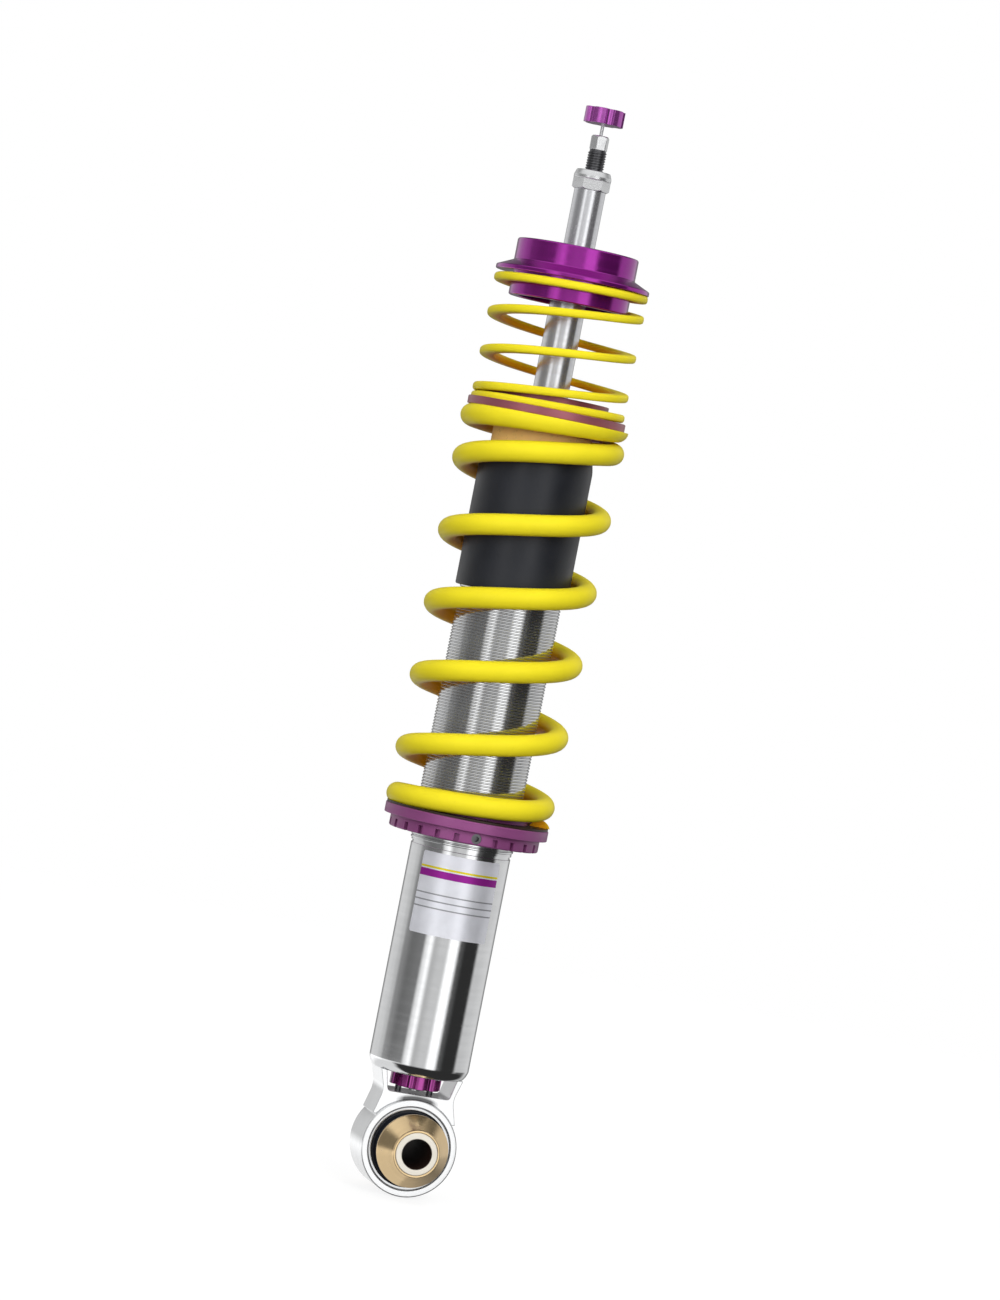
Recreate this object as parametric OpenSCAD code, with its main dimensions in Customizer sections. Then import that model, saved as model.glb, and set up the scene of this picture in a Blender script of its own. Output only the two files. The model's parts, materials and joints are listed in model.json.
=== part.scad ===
// Rear coilover: a twin-tube damper with a threaded body, a main and a helper
// spring, a height-adjustable lower perch and separate rebound and compression
// adjusters. Millimetres. The origin is the centre of the lower eye's bore: the
// bore runs along Y and the damper stands along +Z.

/* [Eye and bush] */
// Outside diameter of the eye ring
eye_d = 48; // [44:0.5:52]
// Width of the eye ring along its bore
eye_w = 26; // [22:0.5:30]
// Wall of the eye ring
eye_wall = 3.6; // [3:0.1:4.2]
// Wall of the steel shell that is pressed into the eye ring
shell_wall = 1.6; // [1.2:0.1:1.9]
// Bore of the inner sleeve, for the lower bolt
sleeve_bore = 14.5; // [10:0.5:15]
// Outside diameter of the inner sleeve
sleeve_d = 21; // [18:0.5:22]
// Overall length of the inner sleeve
sleeve_len = 58; // [52:1:66]
// Diameter of each cone washer where it faces the rubber
cone_base_d = 36; // [32:0.5:37]
// Diameter of each cone washer at the bolted face
cone_face_d = 23.4; // [22.8:0.2:26]
// Distance of each cone washer from the face of the eye ring
cone_stand = 5.8; // [3:0.2:8]
// Straight rim at the foot of each cone washer
cone_rim = 1.2; // [0.8:0.1:2]
// Diameter of the rubber where it stands out to the cone washers
core_d = 34.4; // [31:0.2:35]

/* [Neck and compression wheel] */
// Width of the neck under the damper body
neck_top_w = 41.8; // [39:0.2:43]
// Width of the neck at its waist, above the eye
neck_waist_w = 35.6; // [35:0.2:38]
// Width of the neck where it runs into the eye ring
neck_foot_w = 42; // [38:0.5:43]
// Thickness of the neck, front to back
neck_depth = 22; // [18:1:24]
// Thickness of the neck's two posts at the floor of the adjuster window
post_foot_t = 2.2; // [2:0.1:3]
// Thickness of the neck's two posts at the roof of the adjuster window
post_head_t = 3.1; // [2.5:0.1:4]
// Height of the adjuster window
window_h = 9.8; // [9:0.1:12]
// Metal between the top of the eye ring and the floor of the window
saddle_h = 2.3; // [0.6:0.1:3]
// Diameter of the compression wheel over its lobes
wheel_d = 25; // [22:0.5:27]
// Thickness of the compression wheel
wheel_t = 6.1; // [5:0.1:6.5]
// Number of lobes on the compression wheel
wheel_lobes = 8; // [6:1:10]
// Radius of the scallops between the lobes
wheel_scallop_r = 2.6; // [2:0.1:3]
// Diameter of the compression spindle
comp_spindle_d = 6; // [5:0.5:7]
// Thickness of the wheel's support plate
support_t = 0.7; // [0.5:0.1:1]
// Distance between the two posts of the support plate
post_spread = 16; // [14:0.5:18]
// Diameter of the posts
post_d = 3.2; // [2.5:0.1:4]
// Height of the posts above the window floor
post_h = 2; // [1.5:0.1:2.2]

/* [Damper body] */
// Outside diameter of the plain body
body_d = 49.4; // [48:0.2:50.4]
// Diameter over the thread
thread_d = 50.8; // [50.6:0.2:53]
// Wall of the body tube
body_wall = 2.5; // [2:0.1:3]
// Height of the rounded lower lip of the body
lip_h = 5.4; // [4:0.1:7]
// Diameter of the body at the foot of the lip
lip_foot_d = 44; // [43.5:0.5:46]
// Plain length between the lip and the thread
plain_len = 106.9; // [95:0.1:120]
// Threaded length
thread_len = 170.3; // [165:0.5:180]
// Width of the turned groove under the thread
groove_w = 1.4; // [1:0.1:2]
// Outside diameter of the pressure tube
pressure_d = 35; // [34:0.5:37]
// Wall of the pressure tube
pressure_wall = 1.5; // [1.2:0.1:1.8]
// Height of the foot valve's flange
valve_flange_h = 6; // [5:0.5:8]
// Height of the foot valve's spigot
valve_spigot_h = 6; // [5:0.5:8]
// Depth of the end cap's spigot inside the body
cap_spigot_h = 8; // [6:0.5:10]
// Width of the plain silver label, as an angle round the body
label_angle = 98; // [80:1:120]
// Height of the label
label_h = 39.9; // [30:0.1:45]
// Distance of the label below the thread
label_drop = 3.3; // [2:0.1:10]

/* [Rod and seals] */
// Diameter of the piston rod
rod_d = 17.8; // [16:0.2:19]
// Diameter of the threaded stud on the rod
stud_d = 9; // [8.6:0.1:10]
// Diameter of the stud's shank, inside the spacer sleeve and the top nut
shank_d = 9.5; // [9:0.1:10.4]
// Free thread above the top nut
stud_free = 10.5; // [8:0.5:14]
// Width across the flats at the tip of the rod
tip_af = 8; // [7:0.1:8]
// Length of the flats at the tip of the rod
tip_len = 7; // [6:0.5:10]
// Spare travel between the rebound stop and the rod guide
spare_travel = 34; // [30:1:40]
// Height of the rebound stop
stop_h = 6; // [5:0.5:8]
// Diameter of the rod's lower stud
lower_stud_d = 10; // [9:0.5:12]
// Height of the piston
piston_h = 12; // [10:0.5:16]
// Thickness of a stack of shims
shim_h = 1.4; // [1:0.1:2]
// Diameter of the shims
shim_d = 24; // [20:0.5:26]
// Height of the rod guide's flange
guide_h = 15; // [12:0.5:18]
// Height of the rod guide's spigot in the pressure tube
guide_spigot_h = 5; // [4:0.5:8]
// Wall of the guide's sliding bush
guide_bush_wall = 1.2; // [1:0.1:1.6]
// Height of the rod seal
seal_h = 5; // [4:0.5:7]
// Height of the gland nut inside the body
gland_h = 10; // [8:0.5:14]
// Height of the gland nut's rim above the body
gland_rim_h = 2; // [1.5:0.1:3]

/* [Bump stop and boot] */
// Diameter of the bump stop
bump_d = 48.4; // [44:0.2:48.8]
// Height of the bump stop
bump_h = 44; // [40:0.5:46]
// Wall of the boot
boot_wall = 2.1; // [1.6:0.1:2.3]
// Length of the boot
boot_len = 70; // [60:0.2:75]
// Distance of the boot's top edge above the body
boot_rise = 26; // [22:0.5:28]

/* [Lower perch] */
// Height of the perch above the start of the thread
perch_height = 4.4; // [3.5:0.1:20]
// Diameter of the perch's flange
perch_flange_d = 80.8; // [79:0.2:84]
// Height of the perch's flange
perch_flange_h = 5.1; // [4.5:0.1:8]
// Diameter of the notched ring
perch_ring_d = 74; // [72:0.5:78]
// Height of the notched ring
perch_ring_h = 6.2; // [5.5:0.1:9]
// Number of spanner notches, with the grub screw in the place of one
notches = 24; // [12:1:28]
// Width of a notch
notch_w = 2.6; // [2:0.1:4]
// Depth of a notch
notch_depth = 2.5; // [1.5:0.1:3]
// Height of a notch
notch_h = 4.2; // [3:0.1:5]
// Height of the collar that centres the spring
collar_h = 5.5; // [4:0.5:8]
// Thickness of the slip washer
washer_t = 1; // [0.8:0.1:2]
// Diameter of the grub screw
grub_d = 5; // [4:0.5:5]
// Thickness of the pad under the grub screw
pad_t = 2.9; // [2:0.1:4]
// How far the grub screw lies under the rim of the ring
grub_inset = 0.6; // [0.3:0.1:1.5]
// Step between the rim of the flange and the rim of the slip washer
washer_inset = 0.4; // [0.2:0.1:1]

/* [Springs and coupler] */
// Inside diameter of the main spring
spring_inner_d = 61.3; // [61:0.1:62]
// Wire diameter of the main spring
wire_d = 10.7; // [9:0.1:11.5]
// Free length of the main spring
spring_h = 197; // [190:0.5:210]
// Turns of the main spring
spring_turns = 7.04; // [6:0.02:8]
// Inside diameter of the helper spring
helper_inner_d = 61; // [60.4:0.1:62]
// Radial width of the helper spring's flat wire
helper_w = 7.5; // [6:0.1:8]
// Height of the helper spring's flat wire
helper_t = 4; // [3:0.1:4.5]
// Free length of the helper spring
helper_h = 63.2; // [60:0.1:70]
// Turns of the helper spring
helper_turns = 4.8; // [4:0.1:5.5]
// Diameter of the coupler's flange
coupler_d = 78; // [76:0.5:82]
// Thickness of the coupler's flange
coupler_t = 4; // [3.5:0.1:6]
// Height of the coupler's upper spigot
coupler_up = 6.5; // [5:0.1:8]
// Depth of the coupler's lower spigot
coupler_down = 7; // [6:0.5:10]

/* [Top perch] */
// Diameter of the top perch's collar
top_collar_d = 60; // [58:0.5:66]
// Height of the top perch's collar
top_collar_h = 10.7; // [9:0.1:16]
// Height of the cone between the flange and the collar
top_cone_h = 3.7; // [2:0.1:5]
// Thickness of the rim of the top perch's flange
top_flange_t = 2.1; // [1.5:0.1:4]
// Depth of the top perch's spigot inside the helper spring
top_spigot_h = 11.4; // [8:0.1:12.5]
// Thickness of the top perch's plate
top_plate_t = 6; // [5:0.1:8]
// Inside diameter of the top perch
top_hollow_d = 51; // [50:0.2:51.4]
// Diameter of the washer recess in the top face
recess_d = 24; // [22:0.5:28]
// Depth of the washer recess
recess_t = 0.5; // [0.3:0.1:1]
// Diameter of the spacer sleeve
spacer_d = 15.5; // [14:0.1:17]
// Length of the spacer sleeve above the top perch
spacer_h = 29.1; // [24:0.1:34]
// Width across the flats of the top nut
nut_af = 16; // [14:0.5:17]
// Height of the top nut's hexagon
nut_h = 5.1; // [4:0.1:7]
// Diameter of the top nut's flange
nut_flange_d = 18.5; // [17:0.1:20]
// Height of the top nut's flange
nut_flange_h = 4.3; // [3:0.1:5]

/* [Rebound adjuster] */
// Diameter of the rebound spindle inside the rod
spindle_d = 3.2; // [2.8:0.1:3.6]
// Diameter of the knob's stem
stem_d = 1.7; // [1.5:0.1:1.9]
// Depth of the stem's socket in the spindle
socket_h = 10; // [8:0.5:12]
// Visible length of the stem
stem_free = 5.6; // [5:0.1:9]
// Length of the rebound needle
needle_len = 14; // [12:0.5:18]
// Diameter of the rebound knob
knob_d = 19.5; // [17:0.1:22]
// Thickness of the rebound knob
knob_t = 7.6; // [6:0.1:10]
// Number of lobes on the rebound knob
knob_lobes = 6; // [5:1:8]
// Radius of the scallops between the knob's lobes
knob_scallop_r = 2.6; // [2:0.1:3]

/* [Clearances] */
// Radial clearance of running fits
run_gap = 0.05; // [0.02:0.01:0.09]
// Clearance between pieces that turn slowly on each other
turn_gap = 0.1; // [0.05:0.01:0.15]
// Radial clearance of the perch on the thread
thread_gap = 0.1; // [0.05:0.01:0.2]
// Radial clearance of the boot over the thread
boot_gap = 0.3; // [0.2:0.05:0.4]
// Radial clearance of the coupler over the boot
coupler_gap = 0.4; // [0.3:0.05:0.5]
// Radial clearance of the bump stop round the rod
bump_gap = 0.5; // [0.3:0.05:1]
// Radial clearance between a spring and its spigot
spigot_gap = 1; // [0.6:0.05:1.2]

/* [Hidden] */
$fn = 96;

// Heights above the eye's centre, from the bottom up
z_window = eye_d / 2 + saddle_h;
z_cap = z_window + window_h;
z_body = z_cap + lip_h;
z_thread = z_body + plain_len;
z_body_top = z_thread + thread_len;
z_gland_top = z_body_top + gland_rim_h;
z_valve = z_body + cap_spigot_h;
z_pressure = z_valve + valve_flange_h;
z_gland = z_body_top - gland_h;
z_seal = z_gland - seal_h;
z_guide = z_seal - guide_h;
z_boot_top = z_body_top + boot_rise;

z_ring = z_thread + perch_height;
z_flange = z_ring + perch_ring_h;
z_seat = z_flange + perch_flange_h;
z_spring = z_seat + washer_t;
z_coupler = z_spring + spring_h;
z_helper = z_coupler + coupler_t;
z_top_flange = z_helper + helper_h;
z_top_rim = z_top_flange + top_flange_t;
z_top_collar = z_top_rim + top_cone_h;
z_top_face = z_top_collar + top_collar_h;
z_recess = z_top_face - recess_t;
z_plate = z_recess - top_plate_t;
z_nut = z_top_face + spacer_h;
z_nut_flange = z_nut + nut_h;
z_stud = z_nut_flange + nut_flange_h;
z_tip = z_stud + stud_free;
z_rod_top = z_tip + tip_len;
z_knob = z_rod_top + stem_free;

// Wheel, support plate and spindle in the neck's window
z_support = z_window + post_h;
z_wheel = z_support + support_t + turn_gap;
z_wheel_top = z_wheel + wheel_t;
z_comp_spindle = z_window + post_h / 2;
z_comp_spindle_top = z_valve + valve_flange_h / 3;
comp_needle_d = comp_spindle_d * 0.6;
comp_needle_up = 6;                 // needle above the spindle
comp_needle_down = 8;               // needle inside the spindle
comp_needle_tip = 2;
comp_oring_h = 2;
comp_oring_w = 1.8;
ball_r = 1.2;
ball_orbit = wheel_d * 0.32;        // distance of the detent ball from the axis
pocket_h = 4.2;                     // depth of the ball's pocket in the cap

// Rod stack under the rebound stop, and the stud's core inside its shank
stud_root = 1;
z_stop = z_guide - guide_spigot_h - spare_travel - stop_h;
z_shoulder = z_stop - 3;
z_piston = z_shoulder - shim_h - piston_h;
z_lower_shims = z_piston - shim_h;
z_piston_nut = z_lower_shims - 7;
z_rod_foot = z_piston_nut - 2;
piston_nut_af = 17;
band_t = 0.8;
band_h = piston_h - 4;
port_d = 3;
ports = 4;

// Radii
eye_r = eye_d / 2;
shell_r = eye_r - eye_wall;
rubber_r = shell_r - shell_wall;
body_r = body_d / 2;
thread_r = thread_d / 2;
bore_r = body_r - body_wall;
pressure_r = pressure_d / 2;
cylinder_r = pressure_r - pressure_wall;
rod_r = rod_d / 2;
stud_r = stud_d / 2;
shank_r = shank_d / 2;
spindle_r = spindle_d / 2;
rod_bore_r = spindle_r + run_gap;
boot_in_r = thread_r + boot_gap;
boot_r = boot_in_r + boot_wall;
bump_r = bump_d / 2;
bump_neck_r = bump_r - 1.2;         // bottom of the groove that holds the boot
coupler_in_r = boot_r + coupler_gap;
perch_in_r = thread_r + thread_gap;
grub_end_r = perch_ring_d / 2 - grub_inset;
grub_len = grub_end_r - perch_in_r - pad_t;
spring_in_r = spring_inner_d / 2;
spring_r = spring_in_r + wire_d / 2;
helper_in_r = helper_inner_d / 2;
helper_r = helper_in_r + helper_w / 2;

// Angles round Z from +X: the grub screw, the middle of the label, a flat of the top nut
grub_angle = 265;
label_mid_angle = 260;
nut_angle = 259;
label_t = 0.15;
glue_t = 0.03;

// Springs: angle of the first end. The ends give, for the lower and the upper end, the
// height of the wire's centre inside the ground face and the turns that stay closed
spring_start = -10;
spring_ends = [[-1.8, 0.75], [-0.8, 0.9]];
helper_start = 98;
helper_ends = [[-0.4, 1.05], [1.3, 0.5]];
coil_steps = 24;                    // rings per turn
open_turns = 0.5;                   // turns over which the pitch opens
coil_gap = 0.3;                     // air between closed coils

// ---- Shared shapes -------------------------------------------------------

// A ring between two radii and two heights
module ring(r_out, r_in, z0, z1) {
    translate([0, 0, z0])
    difference() {
        cylinder(r = r_out, h = z1 - z0);
        translate([0, 0, -1]) cylinder(r = r_in, h = z1 - z0 + 2);
    }
}

// A turned piece from its half section, as [radius, height] points
module turned(section) {
    rotate_extrude() polygon(section);
}

// Copies round Z
module around(count, start = 0) {
    for (i = [0 : count - 1]) rotate([0, 0, start + i * 360 / count]) children();
}

// A disc with scallops cut in its rim
module lobed_disc(d, h, lobes, scallop_r) {
    difference() {
        cylinder(d = d, h = h);
        around(lobes, 180 / lobes)
            translate([d / 2 + scallop_r * 0.45, 0, -1]) cylinder(r = scallop_r, h = h + 2);
    }
}

// A hexagonal prism across its flats
module hexagon(af, h) {
    cylinder(r = af / 2 / cos(30), h = h, $fn = 6);
}

// Turns of full pitch that t turns past the closed ones are worth
function eased_sum(x) = x <= 0 ? 0 : x >= 1 ? x - 0.5 : pow(x, 3) - pow(x, 4) / 2;
function opened(t) = open_turns * eased_sum(t / open_turns);

// Height of a spring's wire centre at t turns from its lower end
function coil_height(t, turns, wire, length, ends) =
    let (closed = wire + coil_gap,
         low = ends[0],
         high = ends[1],
         extra = (length - low[0] - high[0] - closed * turns)
               / (turns - low[1] - high[1] - open_turns),
         down = turns - t)
    t < turns / 2
        ? low[0] + closed * t + extra * opened(t - low[1])
        : length - high[0] - closed * down - extra * opened(down - high[1]);

// Side faces and end caps of a tube of rings
function sweep_faces(rings, sides) = concat(
    [[for (j = [sides - 1 : -1 : 0]) j]],
    [for (i = [0 : rings - 2]) for (j = [0 : sides - 1])
        [i * sides + j, i * sides + (j + 1) % sides,
         (i + 1) * sides + (j + 1) % sides, (i + 1) * sides + j]],
    [[for (j = [0 : sides - 1]) (rings - 1) * sides + j]]);

// A helical wire whose section is a list of [outward, upward] points
module coil(section, mid_r, turns, wire, length, start, ends) {
    rings = round(turns * coil_steps) + 1;
    sides = len(section);
    points = [for (i = [0 : rings - 1])
        let (t = turns * i / (rings - 1), a = start + 360 * t,
             z = coil_height(t, turns, wire, length, ends))
        for (p = section) [(mid_r + p[0]) * cos(a), (mid_r + p[0]) * sin(a), z + p[1]]];
    polyhedron(points, sweep_faces(rings, sides));
}

function round_section(r, sides) =
    [for (i = [0 : sides - 1]) [r * cos(360 * i / sides), r * sin(360 * i / sides)]];
function flat_section(w, h) = [[w / 2, -h / 2], [w / 2, h / 2], [-w / 2, h / 2], [-w / 2, -h / 2]];

// A coil whose two ends are ground flat
module ground_coil(section, mid_r, turns, wire, length, start, ends, z0) {
    slab = 4 * mid_r;
    translate([0, 0, z0])
    intersection() {
        coil(section, mid_r, turns, wire, length, start, ends);
        translate([-slab / 2, -slab / 2, 0]) cube([slab, slab, length]);
    }
}

// ---- Eye and bush --------------------------------------------------------

module eye_ring() {
    color("gainsboro")
    rotate([90, 0, 0]) ring(eye_r, shell_r, -eye_w / 2, eye_w / 2);
}

module bush_shell() {
    color("lightgray")
    rotate([90, 0, 0]) ring(shell_r, rubber_r, -eye_w / 2 + 0.4, eye_w / 2 - 0.4);
}

// Rubber between the shell and the sleeve, with a core that stands out to the cones
module bush_rubber() {
    face = eye_w / 2 - 2;
    half = eye_w / 2 + cone_stand - turn_gap;
    inner = sleeve_d / 2 + run_gap;
    core_r = core_d / 2;
    color("#2b2b2b")
    rotate([90, 0, 0])
    turned([[inner, -half], [core_r - 1, -half], [core_r, -half + 2], [core_r, -face],
            [rubber_r, -face], [rubber_r, face], [core_r, face], [core_r, half - 2],
            [core_r - 1, half], [inner, half]]);
}

module bush_sleeve() {
    color("silver")
    rotate([90, 0, 0]) ring(sleeve_d / 2, sleeve_bore / 2, -sleeve_len / 2, sleeve_len / 2);
}

// A cone washer on the sleeve, with its foot at the rubber and its face outwards
module cone_washer() {
    foot = eye_w / 2 + cone_stand;
    face = sleeve_len / 2;
    turned([[sleeve_d / 2, foot], [cone_base_d / 2, foot], [cone_base_d / 2, foot + cone_rim],
            [cone_face_d / 2, face - 1], [cone_face_d / 2, face], [sleeve_d / 2, face]]);
}

module front_cone_washer() {
    color("darkkhaki")
    rotate([90, 0, 0]) cone_washer();
}

module rear_cone_washer() {
    color("darkkhaki")
    rotate([-90, 0, 0]) cone_washer();
}

// ---- Neck, end cap and compression adjuster ------------------------------

// Flat-sided neck with the adjuster's window through it
module neck() {
    z_foot = eye_r * 0.6;
    top = neck_top_w / 2;
    waist = neck_waist_w / 2;
    foot = neck_foot_w / 2;
    rotate([90, 0, 0])
    translate([0, 0, -neck_depth / 2])
    linear_extrude(neck_depth)
    difference() {
        polygon([[-top, z_cap], [-waist, z_window], [-foot, z_foot],
                 [foot, z_foot], [waist, z_window], [top, z_cap]]);
        polygon([[-top + post_head_t, z_cap + 1], [-top + post_head_t, z_cap],
                 [-waist + post_foot_t, z_window], [waist - post_foot_t, z_window],
                 [top - post_head_t, z_cap], [top - post_head_t, z_cap + 1]]);
        circle(r = eye_r);
    }
}

// The closed lower end of the body: a rounded lip, a spigot and the neck
module end_cap() {
    lip_mid = (lip_foot_d / 2 + body_r * 2) / 3;
    color("gainsboro")
    union() {
        neck();
        difference() {
            turned([[0, z_cap], [lip_foot_d / 2, z_cap], [lip_mid, z_cap + lip_h * 0.3],
                    [body_r, z_body - 0.5], [body_r, z_body], [bore_r, z_body],
                    [bore_r, z_valve], [0, z_valve]]);
            translate([0, 0, z_cap - 1])
                cylinder(r = comp_spindle_d / 2 + run_gap, h = z_valve - z_cap + 2);
            translate([0, 0, z_valve - comp_oring_h])
                cylinder(r = comp_spindle_d / 2 + comp_oring_w, h = comp_oring_h + 1);
            translate([0, ball_orbit, z_cap - 1]) cylinder(r = ball_r + run_gap, h = pocket_h + 1);
        }
    }
}

module spindle_oring() {
    color("#1c1c1c")
    ring(comp_spindle_d / 2 + comp_oring_w, comp_spindle_d / 2 + run_gap,
         z_valve - comp_oring_h, z_valve);
}

// Plate on two posts that carries the wheel and the foot of its spindle
module wheel_support() {
    color("dimgray") {
        difference() {
            translate([0, 0, z_support])
            linear_extrude(support_t)
            union() {
                circle(d = post_spread - 2);
                translate([-post_spread / 2, -post_d / 2]) square([post_spread, post_d]);
                for (side = [-1, 1]) translate([side * post_spread / 2, 0]) circle(d = post_d);
            }
            translate([0, 0, z_support - 1])
                cylinder(r = comp_spindle_d / 2 + run_gap, h = support_t + 2);
        }
        for (side = [-1, 1])
            translate([side * post_spread / 2, 0, z_window]) cylinder(d = post_d, h = post_h);
    }
}

module compression_wheel() {
    color("purple")
    translate([0, 0, z_wheel])
    difference() {
        lobed_disc(wheel_d, wheel_t, wheel_lobes, wheel_scallop_r);
        translate([0, 0, -1]) cylinder(d = comp_spindle_d, h = wheel_t + 2);
    }
}

module compression_spindle() {
    color("silver")
    difference() {
        translate([0, 0, z_comp_spindle])
            cylinder(d = comp_spindle_d, h = z_comp_spindle_top - z_comp_spindle);
        translate([0, 0, z_comp_spindle_top - comp_needle_down - 1])
            cylinder(r = comp_needle_d / 2 + run_gap, h = comp_needle_down + 2);
    }
}

// Needle that the spindle's thread lifts into the foot valve
module compression_needle() {
    r = comp_needle_d / 2;
    top = z_comp_spindle_top + comp_needle_up;
    color("goldenrod")
    turned([[0, z_comp_spindle_top - comp_needle_down], [r, z_comp_spindle_top - comp_needle_down],
            [r, top - comp_needle_tip], [r / 3, top], [0, top]]);
}

module detent_ball() {
    color("silver")
    translate([0, ball_orbit, z_wheel_top + turn_gap + ball_r]) sphere(r = ball_r);
}

// Small coil between the ball and the roof of its pocket
module detent_spring() {
    foot = z_wheel_top + turn_gap + 2 * ball_r;
    length = z_cap + pocket_h - foot;
    wire = 0.3;
    turns = 4;
    steps = 12;
    sides = 4;
    mid_r = ball_r - wire;
    rings = turns * steps + 1;
    points = [for (i = [0 : rings - 1])
        let (a = 360 * i / steps, z = wire / 2 + (length - wire) * i / (rings - 1))
        for (p = round_section(wire / 2, sides))
            [(mid_r + p[0]) * cos(a), (mid_r + p[0]) * sin(a), z + p[1]]];
    color("silver")
    translate([0, ball_orbit, foot]) polyhedron(points, sweep_faces(rings, sides));
}

// ---- Damper body ---------------------------------------------------------

module outer_tube() {
    color("silver")
    turned([[bore_r, z_body], [body_r, z_body], [body_r, z_thread - groove_w],
            [body_r - 0.5, z_thread - groove_w], [body_r - 0.5, z_thread],
            [thread_r - 0.6, z_thread], [thread_r, z_thread + 0.6],
            [thread_r, z_body_top - 0.8], [thread_r - 0.8, z_body_top], [bore_r, z_body_top]]);
}

module label() {
    z0 = z_thread - label_drop - label_h;
    color("whitesmoke")
    rotate([0, 0, label_mid_angle - label_angle / 2])
    rotate_extrude(angle = label_angle)
    translate([body_r + glue_t, z0]) square([label_t, label_h]);
}

module pressure_tube() {
    color("lightsteelblue")
    ring(pressure_r, cylinder_r, z_pressure, z_guide);
}

// Foot valve: flange in the body, spigot in the pressure tube, ports through both
module foot_valve() {
    top = z_pressure + valve_spigot_h;
    color("darkgoldenrod")
    difference() {
        turned([[0, z_valve], [bore_r, z_valve], [bore_r, z_pressure], [cylinder_r, z_pressure],
                [cylinder_r, top], [0, top]]);
        translate([0, 0, z_valve - 1])
            cylinder(r = comp_spindle_d / 2 + run_gap, h = z_comp_spindle_top - z_valve + 1);
        translate([0, 0, z_valve]) cylinder(r = comp_needle_d / 2 + run_gap, h = top - z_valve + 1);
        around(ports) translate([cylinder_r * 0.6, 0, z_valve - 1])
            cylinder(d = port_d, h = top - z_valve + 2);
    }
}

module rod_guide() {
    bush_r = rod_r + run_gap + guide_bush_wall;
    color("darkgray")
    difference() {
        turned([[bush_r, z_guide - guide_spigot_h], [cylinder_r, z_guide - guide_spigot_h],
                [cylinder_r, z_guide], [bore_r, z_guide], [bore_r, z_seal], [bush_r, z_seal]]);
        ring(bore_r + 1, bore_r - 1.5, z_guide + guide_h / 2 - 1, z_guide + guide_h / 2 + 1);
    }
}

module guide_oring() {
    color("#1c1c1c")
    ring(bore_r, bore_r - 1.5, z_guide + guide_h / 2 - 1, z_guide + guide_h / 2 + 1);
}

module guide_bush() {
    color("peru")
    ring(rod_r + run_gap + guide_bush_wall, rod_r + run_gap, z_guide - guide_spigot_h, z_seal);
}

module rod_seal() {
    color("#26303a")
    ring(bore_r, rod_r + run_gap, z_seal, z_gland);
}

// Gland nut: threaded into the body, with a rim that the bump stop stands on
module gland_nut() {
    color("silver")
    turned([[rod_r + bump_gap, z_gland], [bore_r, z_gland], [bore_r, z_body_top],
            [thread_r - 1, z_body_top], [thread_r - 1, z_gland_top],
            [rod_r + bump_gap, z_gland_top]]);
}

// ---- Bump stop and boot --------------------------------------------------

lip_in_h = 2.4;                     // height of the boot's inner lip
bump_shoulder = 8;                  // height of the rounded top of the bump stop
module bump_stop() {
    top = z_gland_top + bump_h;
    z_lip = z_boot_top - lip_in_h;
    inner = rod_r + bump_gap;
    color("sandybrown")
    turned([[inner, z_gland_top], [bump_r - 2, z_gland_top], [bump_r, z_gland_top + 2],
            [bump_r, z_lip], [bump_neck_r, z_lip], [bump_neck_r, z_boot_top],
            [bump_r, z_boot_top], [bump_r, top - bump_shoulder],
            [bump_r - bump_shoulder * 0.3, top - bump_shoulder * 0.4],
            [bump_r - bump_shoulder * 0.75, top], [inner, top]]);
}

module boot() {
    z_lip = z_boot_top - lip_in_h;
    bottom = z_boot_top - boot_len;
    color("#303030")
    turned([[boot_in_r, bottom], [boot_r, bottom], [boot_r, z_boot_top - 5],
            [boot_r - 1, z_boot_top], [bump_neck_r, z_boot_top], [bump_neck_r, z_lip],
            [boot_in_r, z_lip]]);
}

// ---- Lower perch ---------------------------------------------------------

module lower_perch() {
    collar_r = spring_in_r - spigot_gap;
    color("rebeccapurple")
    difference() {
        turned([[perch_in_r, z_ring], [perch_ring_d / 2 - 0.8, z_ring],
                [perch_ring_d / 2, z_ring + 0.8], [perch_ring_d / 2, z_flange],
                [perch_flange_d / 2, z_flange], [perch_flange_d / 2, z_seat - 0.6],
                [perch_flange_d / 2 - 0.6, z_seat], [collar_r, z_seat],
                [collar_r, z_seat + collar_h - 1], [collar_r - 1, z_seat + collar_h],
                [perch_in_r, z_seat + collar_h]]);
        for (i = [1 : notches - 1]) rotate([0, 0, grub_angle + i * 360 / notches])
            translate([perch_ring_d / 2 - notch_depth, -notch_w / 2, z_ring - 1])
                cube([notch_depth + 1, notch_w, notch_h + 1]);
        grub_hole();
    }
}

// Radial hole of the grub screw and its pad
module grub_hole() {
    rotate([0, 0, grub_angle])
    translate([0, 0, z_ring + perch_ring_h / 2])
    rotate([0, 90, 0])
        cylinder(d = grub_d, h = perch_ring_d / 2 + 1);
}

module grub_screw() {
    color("silver")
    rotate([0, 0, grub_angle])
    translate([grub_end_r - grub_len, 0, z_ring + perch_ring_h / 2])
    rotate([0, 90, 0])
    difference() {
        cylinder(d = grub_d, h = grub_len);
        translate([0, 0, grub_len - 2.5]) hexagon(grub_d / 2, 3);
    }
}

// Soft pad that the grub screw presses on the thread
module lock_pad() {
    color("goldenrod")
    intersection() {
        rotate([0, 0, grub_angle])
        translate([perch_in_r - 1, 0, z_ring + perch_ring_h / 2])
        rotate([0, 90, 0])
            cylinder(d = grub_d, h = pad_t + 1);
        ring(perch_flange_d / 2, perch_in_r, z_ring, z_flange);
    }
}

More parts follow.
